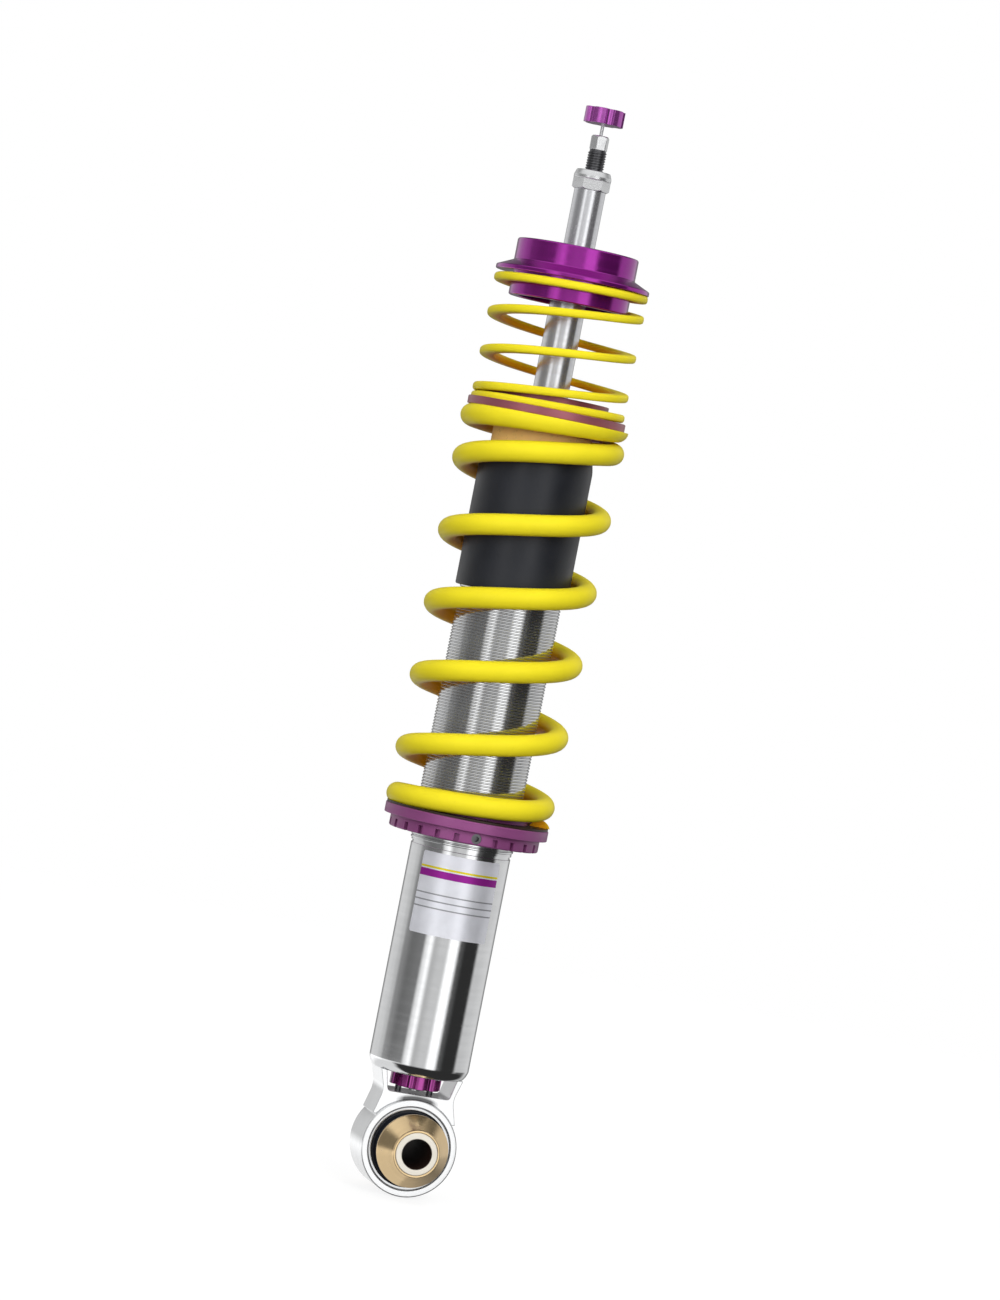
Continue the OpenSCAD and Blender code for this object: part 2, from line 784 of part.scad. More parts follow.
module slip_washer() {
    color("#202020")
    ring(perch_flange_d / 2 - washer_inset, spring_in_r - spigot_gap + turn_gap,
         z_seat + turn_gap, z_spring);
}

// ---- Springs and coupler -------------------------------------------------

module main_spring() {
    color("gold")
    ground_coil(round_section(wire_d / 2, 10), spring_r, spring_turns, wire_d, spring_h,
                spring_start, spring_ends, z_spring);
}

module helper_spring() {
    color("gold")
    ground_coil(flat_section(helper_w, helper_t), helper_r, helper_turns, helper_t, helper_h,
                helper_start, helper_ends, z_helper);
}

module spring_coupler() {
    low_r = spring_in_r - spigot_gap;
    high_r = helper_in_r - spigot_gap;
    color("rosybrown")
    turned([[coupler_in_r, z_coupler - coupler_down], [low_r, z_coupler - coupler_down],
            [low_r, z_coupler], [coupler_d / 2, z_coupler], [coupler_d / 2, z_helper],
            [high_r, z_helper], [high_r, z_helper + coupler_up],
            [coupler_in_r, z_helper + coupler_up]]);
}

// ---- Rod, piston and top perch -------------------------------------------

module piston_rod() {
    color("lightgray")
    difference() {
        union() {
            turned([[0, z_rod_foot], [lower_stud_d / 2, z_rod_foot], [lower_stud_d / 2, z_shoulder],
                    [rod_r, z_shoulder], [rod_r, z_plate - 0.5], [rod_r - 0.5, z_plate],
                    [shank_r, z_plate], [shank_r, z_stud], [0, z_stud]]);
            translate([0, 0, z_tip]) {
                mirror([0, 0, 1]) cylinder(r = stud_r, h = stud_free + stud_root);
                hexagon(tip_af, tip_len);
            }
        }
        translate([0, 0, z_rod_foot - 1])
            cylinder(r = rod_bore_r, h = z_rod_top - z_rod_foot + 2);
    }
}

module rebound_stop() {
    color("#33393f")
    turned([[rod_r, z_stop], [cylinder_r - 2, z_stop], [cylinder_r - 2, z_stop + stop_h - 1],
            [cylinder_r - 3, z_stop + stop_h], [rod_r, z_stop + stop_h]]);
}

module piston() {
    z_band = z_piston + (piston_h - band_h) / 2;
    color("dimgray")
    difference() {
        ring(cylinder_r - 0.3, lower_stud_d / 2, z_piston, z_piston + piston_h);
        ring(cylinder_r, cylinder_r - run_gap - band_t, z_band, z_band + band_h);
        around(ports) translate([cylinder_r * 0.55, 0, z_piston - 1])
            cylinder(d = port_d, h = piston_h + 2);
    }
}

module piston_band() {
    z_band = z_piston + (piston_h - band_h) / 2;
    color("saddlebrown")
    ring(cylinder_r - run_gap, cylinder_r - run_gap - band_t, z_band, z_band + band_h);
}

module upper_shims() {
    color("silver")
    ring(shim_d / 2, lower_stud_d / 2, z_shoulder - shim_h, z_shoulder);
}

module lower_shims() {
    color("silver")
    ring(shim_d / 2, lower_stud_d / 2, z_lower_shims, z_piston);
}

module piston_nut() {
    color("gray")
    difference() {
        translate([0, 0, z_piston_nut]) hexagon(piston_nut_af, z_lower_shims - z_piston_nut);
        translate([0, 0, z_piston_nut - 1])
            cylinder(d = lower_stud_d, h = z_lower_shims - z_piston_nut + 2);
    }
}

// Top perch: a plate clamped on the rod, with a flange and a hollow spigot
module top_perch() {
    spigot_r = helper_in_r - spigot_gap;
    flange_r = helper_in_r + helper_w;
    collar_r = top_collar_d / 2;
    z_spigot = z_top_flange - top_spigot_h;
    color("purple")
    turned([[top_hollow_d / 2, z_spigot], [spigot_r - 0.8, z_spigot], [spigot_r, z_spigot + 0.8],
            [spigot_r, z_top_flange], [flange_r - 0.4, z_top_flange],
            [flange_r, z_top_flange + 0.4], [flange_r, z_top_rim], [collar_r, z_top_collar],
            [collar_r, z_top_face - 1], [collar_r - 1, z_top_face],
            [recess_d / 2, z_top_face], [recess_d / 2, z_recess], [shank_r, z_recess],
            [shank_r, z_plate], [top_hollow_d / 2, z_plate]]);
}

module spacer_sleeve() {
    color("whitesmoke")
    ring(spacer_d / 2, shank_r, z_recess, z_nut);
}

// Top nut: a hexagon with its flange on the upper side
module top_nut() {
    color("lightgray")
    difference() {
        union() {
            translate([0, 0, z_nut]) rotate([0, 0, nut_angle - 30]) hexagon(nut_af, nut_h);
            translate([0, 0, z_nut_flange]) cylinder(d = nut_flange_d, h = nut_flange_h);
        }
        translate([0, 0, z_nut - 1]) cylinder(r = shank_r, h = nut_h + nut_flange_h + 2);
    }
}

// ---- Rebound adjuster ----------------------------------------------------

spindle_tail = 6;                   // needle inside the foot of the spindle
module rebound_spindle() {
    z0 = z_piston_nut + needle_len;
    z1 = z_rod_top - 2;
    color("silver")
    difference() {
        translate([0, 0, z0]) cylinder(r = spindle_r, h = z1 - z0);
        translate([0, 0, z1 - socket_h]) cylinder(r = stem_d / 2 + run_gap, h = socket_h + 1);
        translate([0, 0, z0 - 1]) cylinder(r = spindle_r * 0.6 + run_gap, h = spindle_tail + 2);
    }
}

// Needle that the spindle's thread lowers on the rod's by-pass bore
module rebound_needle() {
    z0 = z_piston_nut;
    z1 = z0 + needle_len;
    color("goldenrod")
    turned([[0, z0], [spindle_r * 0.3, z0], [spindle_r * 0.9, z0 + 3], [spindle_r * 0.9, z1 - 2],
            [spindle_r * 0.6, z1 - 2], [spindle_r * 0.6, z1 + spindle_tail - 1],
            [0, z1 + spindle_tail - 1]]);
}

module knob_stem() {
    color("silver")
    translate([0, 0, z_rod_top - 2 - socket_h + 1])
        cylinder(d = stem_d, h = z_knob + knob_t / 2 - z_rod_top + 1 + socket_h);
}

module rebound_knob() {
    color("mediumvioletred")
    translate([0, 0, z_knob])
    difference() {
        lobed_disc(knob_d, knob_t, knob_lobes, knob_scallop_r);
        translate([0, 0, -1]) cylinder(d = stem_d, h = knob_t / 2 + 1);
    }
}

// ---- Parts ---------------------------------------------------------------

outer_tube();
end_cap();
eye_ring();
bush_shell();
bush_rubber();
pressure_tube();
foot_valve();
rod_guide();
guide_bush();
guide_oring();
rod_seal();
gland_nut();
bump_stop();
boot();
label();
wheel_support();
spindle_oring();
detent_ball();
detent_spring();
bush_sleeve();
front_cone_washer();
rear_cone_washer();
lower_perch();
grub_screw();
lock_pad();
slip_washer();
main_spring();
spring_coupler();
helper_spring();
piston_rod();
rebound_stop();
piston();
piston_band();
upper_shims();
lower_shims();
piston_nut();
top_perch();
spacer_sleeve();
top_nut();
rebound_spindle();
rebound_needle();
rebound_knob();
knob_stem();
compression_wheel();
compression_spindle();
compression_needle();
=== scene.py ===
"""Rear coilover: finishes, threads, springs and studio, built round its fixed frame."""
import json
import math

import bmesh
import bpy
from bpy.props import (EnumProperty, FloatProperty, FloatVectorProperty, IntProperty,
                       PointerProperty)
from mathutils import Matrix, Vector


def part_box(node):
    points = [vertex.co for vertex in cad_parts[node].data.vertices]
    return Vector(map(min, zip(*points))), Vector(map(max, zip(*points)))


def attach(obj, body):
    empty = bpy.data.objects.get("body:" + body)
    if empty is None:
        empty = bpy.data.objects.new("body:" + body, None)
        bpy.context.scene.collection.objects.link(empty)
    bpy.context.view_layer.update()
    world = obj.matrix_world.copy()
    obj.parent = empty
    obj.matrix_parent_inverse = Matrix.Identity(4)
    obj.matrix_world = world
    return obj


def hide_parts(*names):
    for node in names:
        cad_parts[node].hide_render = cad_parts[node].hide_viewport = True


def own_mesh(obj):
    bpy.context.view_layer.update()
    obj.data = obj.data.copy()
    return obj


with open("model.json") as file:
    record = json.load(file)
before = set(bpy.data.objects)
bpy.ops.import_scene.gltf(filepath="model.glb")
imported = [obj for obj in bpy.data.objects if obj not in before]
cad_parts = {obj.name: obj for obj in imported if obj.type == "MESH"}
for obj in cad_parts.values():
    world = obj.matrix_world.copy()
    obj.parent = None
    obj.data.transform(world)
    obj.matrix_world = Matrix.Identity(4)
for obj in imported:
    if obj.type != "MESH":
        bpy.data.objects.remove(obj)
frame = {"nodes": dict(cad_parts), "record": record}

bl_info = {
    "name": "Rear coilover",
    "version": (1, 0, 0),
    "blender": (4, 5, 0),
    "location": "3D View > Sidebar > Coilover",
    "description": "Builds a rear coilover round its fixed frame",
    "category": "Add Mesh",
}

MM = 0.001
FULL_TURN = 2 * math.pi
Z_AXIS = Vector((0, 0, 1))
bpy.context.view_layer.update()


# ---- Reading the frame ----------------------------------------------------

def low(node):
    """Lowest height of a node."""
    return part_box(node)[0].z


def high(node):
    """Highest height of a node."""
    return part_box(node)[1].z


def reach(node):
    """Outer radius of a turned node that stands on the Z axis."""
    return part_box(node)[1].x


def srgb(red, green, blue):
    """A colour given as 0 to 255 on screen, as the linear values that shaders use."""
    def linear(value):
        value /= 255
        return value / 12.92 if value <= 0.04045 else ((value + 0.055) / 1.055) ** 2.4
    return tuple(linear(value) for value in (red, green, blue))


# ---- Sizes and colours ----------------------------------------------------

def length(name, text, default):
    return FloatProperty(name=name, description=text, default=default, unit="LENGTH",
                         precision=5, min=0.0)


def angle(name, text, degrees):
    return FloatProperty(name=name, description=text, default=math.radians(degrees),
                         unit="ROTATION")


def pair(name, text, default, unit="NONE"):
    return FloatVectorProperty(name=name, description=text, default=default, size=2, unit=unit,
                               precision=5)


def colour(name, text, default):
    return FloatVectorProperty(name=name, description=text, default=default, size=3,
                               subtype="COLOR", min=0.0, max=1.0)


SLEEVE_BORE = 7.25 * MM  # radius of the bolt hole in the bush
PLATE = 6 * MM  # thickness of the top perch under the spacer sleeve
SHANK = 4.75 * MM  # radius of the rod inside the top perch, the sleeve and the nut


class CoiloverSizes(bpy.types.PropertyGroup):
    """Sizes of the finish that the frame doesn't give"""
    around: IntProperty(name="Facets", description="Facets round a turned piece",
                        default=128, min=24, max=256)
    soft_edge: length("Edge radius", "Radius of a broken edge", 0.35 * MM)
    thread_start: length("Thread start", "Height where the body thread starts", 148.4 * MM)
    thread_pitch: length("Thread pitch", "Pitch of the body thread", 1.5 * MM)
    thread_depth: length("Thread depth", "Depth of the body thread", 0.55 * MM)
    stud_pitch: length("Stud pitch", "Pitch of the thread on the rod's stud", 1.25 * MM)
    wire: length("Main wire", "Wire diameter of the main spring", 10.7 * MM)
    main_turns: FloatProperty(name="Main turns", description="Turns of the main spring",
                              default=7.04, min=3, max=12)
    main_start: angle("Main start", "Angle of the main spring's lower end", -10)
    main_sinks: pair("Main ends", "Wire centre inside the lower and the upper ground face",
                     (-1.8 * MM, -0.8 * MM), "LENGTH")
    main_closed: pair("Main closed turns", "Closed turns at the lower and the upper end",
                      (0.75, 0.9))
    helper_height: length("Helper wire height", "Height of the flat wire", 4 * MM)
    helper_width: length("Helper wire width", "Radial width of the flat wire", 7.5 * MM)
    helper_turns: FloatProperty(name="Helper turns", description="Turns of the helper spring",
                                default=4.8, min=3, max=8)
    helper_start: angle("Helper start", "Angle of the helper spring's lower end", 98)
    helper_sinks: pair("Helper ends", "Wire centre inside the lower and the upper ground face",
                       (-0.4 * MM, 1.3 * MM), "LENGTH")
    helper_closed: pair("Helper closed turns", "Closed turns at the lower and the upper end",
                        (1.05, 0.5))
    closed_gap: length("Closed gap", "Air between the closed coils", 0.3 * MM)
    open_turns: FloatProperty(name="Opening", description="Turns over which the pitch opens",
                              default=0.5, min=0.1, max=2)
    notches: IntProperty(name="Notches", description="Places for spanner notches in the perch",
                         default=24, min=8, max=36)
    grub_angle: angle("Grub screw", "Angle of the grub screw round the perch", 265)
    label_angle: angle("Label", "Angle of the label's middle round the body", 260)
    nut_angle: angle("Top nut", "Angle that a flat of the top nut faces", 259)
    digit_height: length("Digit height", "Height of the digits on the knob", 2.9 * MM)
    lean: angle("Lean", "Lean of the unit in the picture", 11.1)
    camera_side: angle("Camera side", "Azimuth of the camera", -15)
    camera_distance: length("Camera distance", "Distance of the camera", 2.45)
    camera_height: length("Camera height", "Height of the camera", 304.7 * MM)
    picture_middle: length("Picture middle", "Height at the picture's middle", 246.7 * MM)
    lens: FloatProperty(name="Lens", description="Focal length in millimetres",
                        default=139, min=20, max=300)


class CoiloverColours(bpy.types.PropertyGroup):
    """Colours of the finishes"""
    steel: colour("Steel", "Polished stainless steel", srgb(236, 237, 238))
    chrome: colour("Chrome", "Hard chromed rod", srgb(228, 229, 232))
    turned: colour("Turned steel", "Zinc plated and turned steel", srgb(222, 223, 224))
    sleeve: colour("Sleeve", "Face of the steel sleeve in the bush", srgb(235, 229, 216))
    # Dark brown for the inside of the sleeve's bore.
    dark_bore: colour("Dark bore", "Oiled scale inside the sleeve", srgb(44, 25, 18))
    black_steel: colour("Black steel", "Black oxide on the stud", srgb(112, 112, 115))
    zinc: colour("Yellow zinc", "Yellow zinc on the cone washers", srgb(234, 206, 160))
    purple: colour("Purple", "Anodised purple of the top perch", srgb(160, 38, 156))
    dull_purple: colour("Dull purple", "Anodised purple of the lower perch",
                        srgb(140, 74, 126))
    magenta: colour("Magenta", "Anodised magenta of the compression wheel",
                    srgb(164, 52, 144))
    lilac: colour("Lilac", "Anodised lilac of the rebound knob", srgb(184, 92, 184))
    mauve: colour("Mauve", "Anodised mauve of the coupler", srgb(150, 86, 98))
    yellow: colour("Yellow", "Powder coat of the springs", srgb(239, 222, 40))
    # Painted shade: a darker golden yellow for the under and inner side of the springs and their
    # ends.
    golden: colour("Golden", "Thin coat on the hidden side of the springs", srgb(216, 146, 12))
    foam: colour("Foam", "Polyurethane foam of the bump stop", srgb(250, 202, 120))
    rubber: colour("Rubber", "Black rubber", srgb(30, 32, 38))
    # Black plastic of the slip washer, tinted dark brown as painted shade in the joint under the
    # main spring.
    plastic: colour("Plastic", "Black plastic", srgb(40, 26, 18))
    bronze: colour("Bronze", "Bronze and brass", srgb(205, 160, 90))
    foil: colour("Foil", "Plain silver foil of the label", srgb(232, 233, 240))
    ink: colour("Ink", "White filling of the digits", srgb(240, 240, 240))


# ---- Shader groups --------------------------------------------------------

def new_group(name, inputs, outputs):
    """Starts a node group with float sockets; a None default makes a vector. Gives back its
    wiring, what comes in and what goes out."""
    tree = bpy.data.node_groups.new(name, "ShaderNodeTree")
    for label, default in inputs.items():
        kind = "NodeSocketVector" if default is None else "NodeSocketFloat"
        socket = tree.interface.new_socket(label, in_out="INPUT", socket_type=kind)
        if default is not None:
            socket.default_value = default
    for label in outputs:
        tree.interface.new_socket(label, in_out="OUTPUT", socket_type="NodeSocketFloat")
    ends = [tree.nodes.new("NodeGroupInput"), tree.nodes.new("NodeGroupOutput")]
    return Wiring(tree), ends[0].outputs, ends[1].inputs


class Wiring:
    """Short calls for placing and joining nodes in one tree."""

    def __init__(self, tree):
        self.tree = tree

    def node(self, kind, **values):
        placed = self.tree.nodes.new("ShaderNode" + kind)
        for key, value in values.items():
            setattr(placed, key, value)
        return placed

    def feed(self, socket, value):
        if isinstance(value, bpy.types.NodeSocket):
            self.tree.links.new(value, socket)
        else:
            socket.default_value = value

    def math(self, operation, first, second=0.0, clamp=False):
        placed = self.node("Math", operation=operation, use_clamp=clamp)
        self.feed(placed.inputs[0], first)
        self.feed(placed.inputs[1], second)
        return placed.outputs[0]

    def plus(self, first, second, clamp=False):
        return self.math("ADD", first, second, clamp)

    def minus(self, first, second):
        return self.math("SUBTRACT", first, second)

    def times(self, first, second):
        return self.math("MULTIPLY", first, second)

    def most(self, first, second):
        return self.math("MAXIMUM", first, second)

    def far(self, first, second):
        """Distance from an axis, by the two measures across it."""
        square = self.plus(self.times(first, first), self.times(second, second))
        return self.math("SQRT", square)

    def split(self, vector):
        parts = self.node("SeparateXYZ")
        self.feed(parts.inputs[0], vector)
        return parts.outputs

    def noise(self, place, scale, detail=1.0, rough=0.5):
        """Noise in space, or along a line where the place is a single measure."""
        placed = self.node("TexNoise")
        if place.type == "VECTOR":
            self.feed(placed.inputs["Vector"], place)
        else:
            placed.noise_dimensions = "1D"
            self.feed(placed.inputs["W"], place)
        self.feed(placed.inputs["Scale"], scale)
        placed.inputs["Detail"].default_value = detail
        placed.inputs["Roughness"].default_value = rough
        return placed.outputs["Fac"]

    def spread(self, value, from_low, from_high, to_low=0.0, to_high=1.0):
        placed = self.node("MapRange", clamp=True)
        for socket, number in zip(placed.inputs, (value, from_low, from_high, to_low, to_high)):
            self.feed(socket, number)
        return placed.outputs[0]

    def mix(self, share, first, second):
        placed = self.node("Mix", data_type="RGBA")
        for label, value in (("Factor", share), ("A", first), ("B", second)):
            self.feed(placed.inputs[label], value)
        return placed.outputs["Result"]

    def tones(self, share, base, dark, light):
        """A colour that goes from a darker to a lighter tone."""
        return self.mix(share, shade(base, dark), shade(base, light))

    def blend(self, share, first, second):
        """Goes from the first value to the second."""
        return self.plus(first, self.times(share, self.minus(second, first)))

    def group(self, name, **values):
        placed = self.node("Group", node_tree=bpy.data.node_groups[name])
        for label, value in values.items():
            self.feed(placed.inputs[label], value)
        return placed.outputs


def build_turning_marks():
    """Fine rings left by a lathe or a grinding wheel, along one measure."""
    wire, given, out = new_group("turning_marks", {"Along": 0.0, "Fineness": 3000.0},
                                 ("Height", "Streak"))
    fine = wire.noise(given["Along"], given["Fineness"], 3.0, 0.7)
    coarse = wire.noise(given["Along"], wire.times(given["Fineness"], 0.12))
    wire.feed(out["Height"], wire.plus(fine, wire.times(coarse, 0.5)))
    wire.feed(out["Streak"], wire.spread(coarse, 0.35, 0.65))


def build_mottle():
    """Slow cloudiness and a scatter of fine specks."""
    wire, given, out = new_group("mottle", {"Vector": None, "Size": 60.0},
                                 ("Cloud", "Specks"))
    cloud = wire.noise(given["Vector"], given["Size"], 4.0, 0.55)
    specks = wire.noise(given["Vector"], wire.times(given["Size"], 26.0))
    wire.feed(out["Cloud"], wire.spread(cloud, 0.3, 0.7))
    wire.feed(out["Specks"], wire.spread(specks, 0.68, 0.76))


def build_orange_peel():
    """The shallow waves of a sprayed or powder coated surface."""
    wire, given, out = new_group("orange_peel", {"Vector": None, "Size": 700.0}, ("Height",))
    waves = wire.noise(given["Vector"], given["Size"], 1.5, 0.4)
    slow = wire.noise(given["Vector"], wire.times(given["Size"], 0.28), 1.0, 0.4)
    wire.feed(out["Height"], wire.plus(waves, wire.times(slow, 1.4)))


def build_pores():
    """Open and half open cells of a polyurethane foam."""
    wire, given, out = new_group("pores", {"Vector": None, "Size": 900.0}, ("Height", "Cell"))
    cells = wire.node("TexVoronoi", feature="F1")
    wire.feed(cells.inputs["Vector"], given["Vector"])
    wire.feed(cells.inputs["Scale"], given["Size"])
    patches = wire.noise(given["Vector"], wire.times(given["Size"], 0.2), 2.0)
    wall = wire.spread(cells.outputs["Distance"], 0.1, 0.34)
    pitted = wire.times(wire.minus(1.0, wall), wire.spread(patches, 0.4, 0.62))
    wire.feed(out["Height"], wire.minus(1.0, pitted))
    wire.feed(out["Cell"], pitted)


def build_scuffs():
    """Sparse hairline handling marks."""
    wire, given, out = new_group("scuffs", {"Vector": None, "Size": 90.0}, ("Mask",))
    turned = wire.node("Mapping")
    turned.inputs["Rotation"].default_value = (0.5, 0.9, 0.3)
    turned.inputs["Scale"].default_value = (1.0, 0.06, 1.0)
    wire.feed(turned.inputs["Vector"], given["Vector"])
    lines = wire.noise(turned.outputs["Vector"], wire.times(given["Size"], 14.0), 0.0)
    patches = wire.noise(given["Vector"], given["Size"], 2.0)
    hair = wire.spread(lines, 0.74, 0.8)
    wire.feed(out["Mask"], wire.times(hair, wire.spread(patches, 0.52, 0.62)))


# ---- Materials ------------------------------------------------------------

FINISHES = {}


class Finish:
    """A material under construction: its shader, its coordinates and its wiring."""

    def __init__(self, name, metallic, roughness, **plain):
        self.material = FINISHES[name] = bpy.data.materials.new(name)
        self.material.use_nodes = True
        self.wire = Wiring(self.material.node_tree)
        self.shader = self.material.node_tree.nodes["Principled BSDF"]
        self.put(Metallic=metallic, Roughness=roughness, **plain)
        self.place = self.wire.node("TexCoord").outputs["Object"]
        self.x, self.y, self.z = self.wire.split(self.place)

    def put(self, **values):
        """Feeds sockets of the shader, by their names with _ for each space."""
        for key, value in values.items():
            self.wire.feed(self.shader.inputs[key.replace("_", " ")], value)

    def bump(self, height, depth, strength):
        placed = self.wire.node("Bump")
        placed.inputs["Strength"].default_value = strength
        placed.inputs["Distance"].default_value = depth
        self.wire.feed(placed.inputs["Height"], height)
        self.put(Normal=placed.outputs["Normal"])

    def pattern(self, name, size):
        return self.wire.group(name, Vector=self.place, Size=size)

    def rough_by(self, share, smooth, rough):
        self.put(Roughness=self.wire.spread(share, 0.0, 1.0, smooth, rough))

    def radius(self):
        """Distance from the Z axis."""
        return self.wire.far(self.x, self.y)

    def eye_radius(self):
        """Distance from the Y axis."""
        return self.wire.far(self.x, self.z)

    def rings(self, fineness, eye=False):
        """Marks of a lathe that turned a piece round the Z axis, or round the eye's axis."""
        along = (self.wire.plus(self.y, self.eye_radius()) if eye
                 else self.wire.plus(self.z, self.radius()))
        return self.wire.group("turning_marks", Along=along, Fineness=fineness)


def shade(value, factor):
    """A colour made lighter or darker."""
    return tuple(min(1.0, channel * factor) for channel in value) + (1.0,)


def turned_metal(name, base, roughness, fineness, depth, eye=False, spread=0.06, metallic=1.0):
    """A bare metal with lathe rings, a slight cloud and hairline marks."""
    finish = Finish(name, metallic, roughness)
    wire = finish.wire
    rings = finish.rings(fineness, eye)
    tone = wire.tones(finish.pattern("mottle", 55.0)["Cloud"], base, 0.95, 1.03)
    rough = wire.spread(rings["Streak"], 0.0, 1.0, roughness, roughness + spread)
    marks = wire.times(finish.pattern("scuffs", 80.0)["Mask"], 0.1)
    finish.put(Base_Color=wire.mix(wire.times(rings["Streak"], 0.3), tone, shade(base, 0.88)),
               Roughness=wire.plus(rough, marks, clamp=True))
    finish.bump(rings["Height"], depth, 0.6)


def threaded_metal(name, base, roughness, root, crest):
    """Polished thread crests over dull grooves, with painted shade that darkens the grooves."""
    finish = Finish(name, 1.0, roughness)
    wire = finish.wire
    risen = wire.spread(finish.radius(), root, crest)
    worn = wire.tones(finish.pattern("mottle", 90.0)["Specks"], base, 0.95, 0.6)
    # Painted shade: the grooves go to 0.4 of the base colour.
    finish.put(Base_Color=wire.mix(risen, shade(base, 0.4), worn))
    finish.rough_by(risen, 0.55, roughness)


def crevice_metal(name, base, roughness, inner, outer, half_width):
    """Polished steel with painted shade and dark reflection in the narrow corner over a round
    part.
    """
    finish = Finish(name, 0.8, roughness)
    wire = finish.wire
    cloud = finish.pattern("mottle", 55.0)["Cloud"]
    close = wire.spread(finish.eye_radius(), inner, outer, 1.0, 0.0)
    aside = wire.math("ABSOLUTE", finish.x)
    middle = wire.spread(aside, half_width, half_width + 4 * MM, 1.0, 0.0)
    # Painted shade: the middle of the corner just over the ring goes nearly black.
    dark = wire.times(wire.times(close, middle), wire.spread(finish.z, 0.0, 10 * MM))
    finish.put(Base_Color=wire.mix(wire.times(dark, 0.92), wire.tones(cloud, base, 0.95, 1.03),
                                   shade(base, 0.06)))
    finish.rough_by(cloud, roughness, roughness + 0.05)


def bored_sleeve(name, face, bore_tone, bore):
    """A turned steel face round a bore coloured dark brown."""
    finish = Finish(name, 0.6, 0.3)
    wire = finish.wire
    outside = wire.spread(finish.eye_radius(), bore + 0.15 * MM, bore + 0.5 * MM)
    tone = wire.tones(finish.pattern("mottle", 120.0)["Cloud"], face, 0.94, 1.04)
    finish.put(Base_Color=wire.mix(outside, shade(bore_tone, 1.0), tone))
    finish.rough_by(outside, 0.8, 0.3)
    finish.bump(finish.rings(2600.0, eye=True)["Height"], 0.01 * MM, 0.5)


def anodised(name, base, roughness, metallic, coat=0.5):
    """Dyed anodising over turned aluminium."""
    finish = Finish(name, metallic, roughness, Coat_Weight=coat, Coat_Roughness=0.1,
                    Specular_IOR_Level=0.3)
    wire = finish.wire
    rings = finish.rings(2600.0)
    clouds = finish.pattern("mottle", 70.0)
    tone = wire.tones(clouds["Cloud"], base, 0.9, 1.08)
    finish.put(Base_Color=wire.mix(wire.times(clouds["Specks"], 0.2), tone, shade(base, 1.5)))
    finish.rough_by(rings["Streak"], roughness - 0.04, roughness + 0.06)
    finish.bump(rings["Height"], 0.012 * MM, 0.5)


def powder_coat(name, base, thin):
    """Satin powder coat with orange peel and a little settled dust, with painted shade, a darker
    golden yellow, on the under and inner side of the wire and near its ends."""
    finish = Finish(name, 0.0, 0.34, Specular_IOR_Level=0.05)
    wire = finish.wire
    clouds = finish.pattern("mottle", 45.0)
    hidden = wire.node("Attribute", attribute_name="hidden_side").outputs["Fac"]
    full = wire.tones(clouds["Cloud"], base, 0.94, 1.02)
    speckled = wire.mix(wire.times(clouds["Specks"], 0.3), full, shade(base, 0.8))
    # Painted shade: the under and inner side and the ends go to the darker golden yellow.
    finish.put(Base_Color=wire.mix(wire.spread(hidden, 0.1, 0.9), speckled, shade(thin, 1.0)))
    finish.rough_by(clouds["Cloud"], 0.3, 0.4)
    finish.bump(finish.pattern("orange_peel", 520.0)["Height"], 0.03 * MM, 0.5)


def moulded_rubber(name, base, roughness):
    """Moulded rubber or plastic: fine grain, dull patches and pale bloom."""
    finish = Finish(name, 0.0, roughness, Specular_IOR_Level=0.42)
    wire = finish.wire
    clouds = finish.pattern("mottle", 50.0)
    tone = wire.tones(clouds["Cloud"], base, 0.85, 1.15)
    finish.put(Base_Color=wire.mix(wire.times(clouds["Specks"], 0.3), tone, shade(base, 2.0)))
    finish.rough_by(clouds["Cloud"], roughness - 0.07, roughness + 0.1)
    finish.bump(finish.pattern("orange_peel", 2600.0)["Height"], 0.03 * MM, 0.7)


def cellular_foam(name, base):
    """Microcellular polyurethane with a moulded skin and open pores."""
    finish = Finish(name, 0.0, 0.68, Subsurface_Weight=0.08, Subsurface_Scale=2 * MM)
    wire = finish.wire
    pores = finish.pattern("pores", 620.0)
    cloud = finish.pattern("mottle", 60.0)["Cloud"]
    tone = wire.tones(cloud, base, 0.88, 1.08)
    finish.put(Base_Color=wire.mix(wire.times(pores["Cell"], 0.6), tone, shade(base, 0.5)))
    finish.rough_by(cloud, 0.6, 0.78)
    finish.bump(pores["Height"], 0.18 * MM, 0.8)


def silver_label(name, foil, purple, yellow, top, bottom):
    """Satin silver foil with two plain bands and rows of fine rules."""
    finish = Finish(name, 0.55, 0.34, Specular_IOR_Level=0.3)
    wire = finish.wire
    share = wire.spread(finish.z, bottom, top)
    cloud = finish.pattern("mottle", 110.0)["Cloud"]

    def band(start, end):
        return wire.times(wire.math("GREATER_THAN", share, start),
                          wire.math("LESS_THAN", share, end))

    tone = wire.tones(cloud, foil, 0.95, 1.05)
    tone = wire.mix(band(0.70, 0.79), tone, shade(purple, 0.9))
    tone = wire.mix(band(0.805, 0.83), tone, shade(yellow, 0.9))
    for row in range(3):
        start = 0.32 + row * 0.085
        tone = wire.mix(wire.times(band(start, start + 0.016), 0.75), tone, shade(foil, 0.18))
    finish.put(Base_Color=tone)
    finish.rough_by(cloud, 0.3, 0.4)
    finish.bump(finish.pattern("orange_peel", 2400.0)["Height"], 0.01 * MM, 0.3)


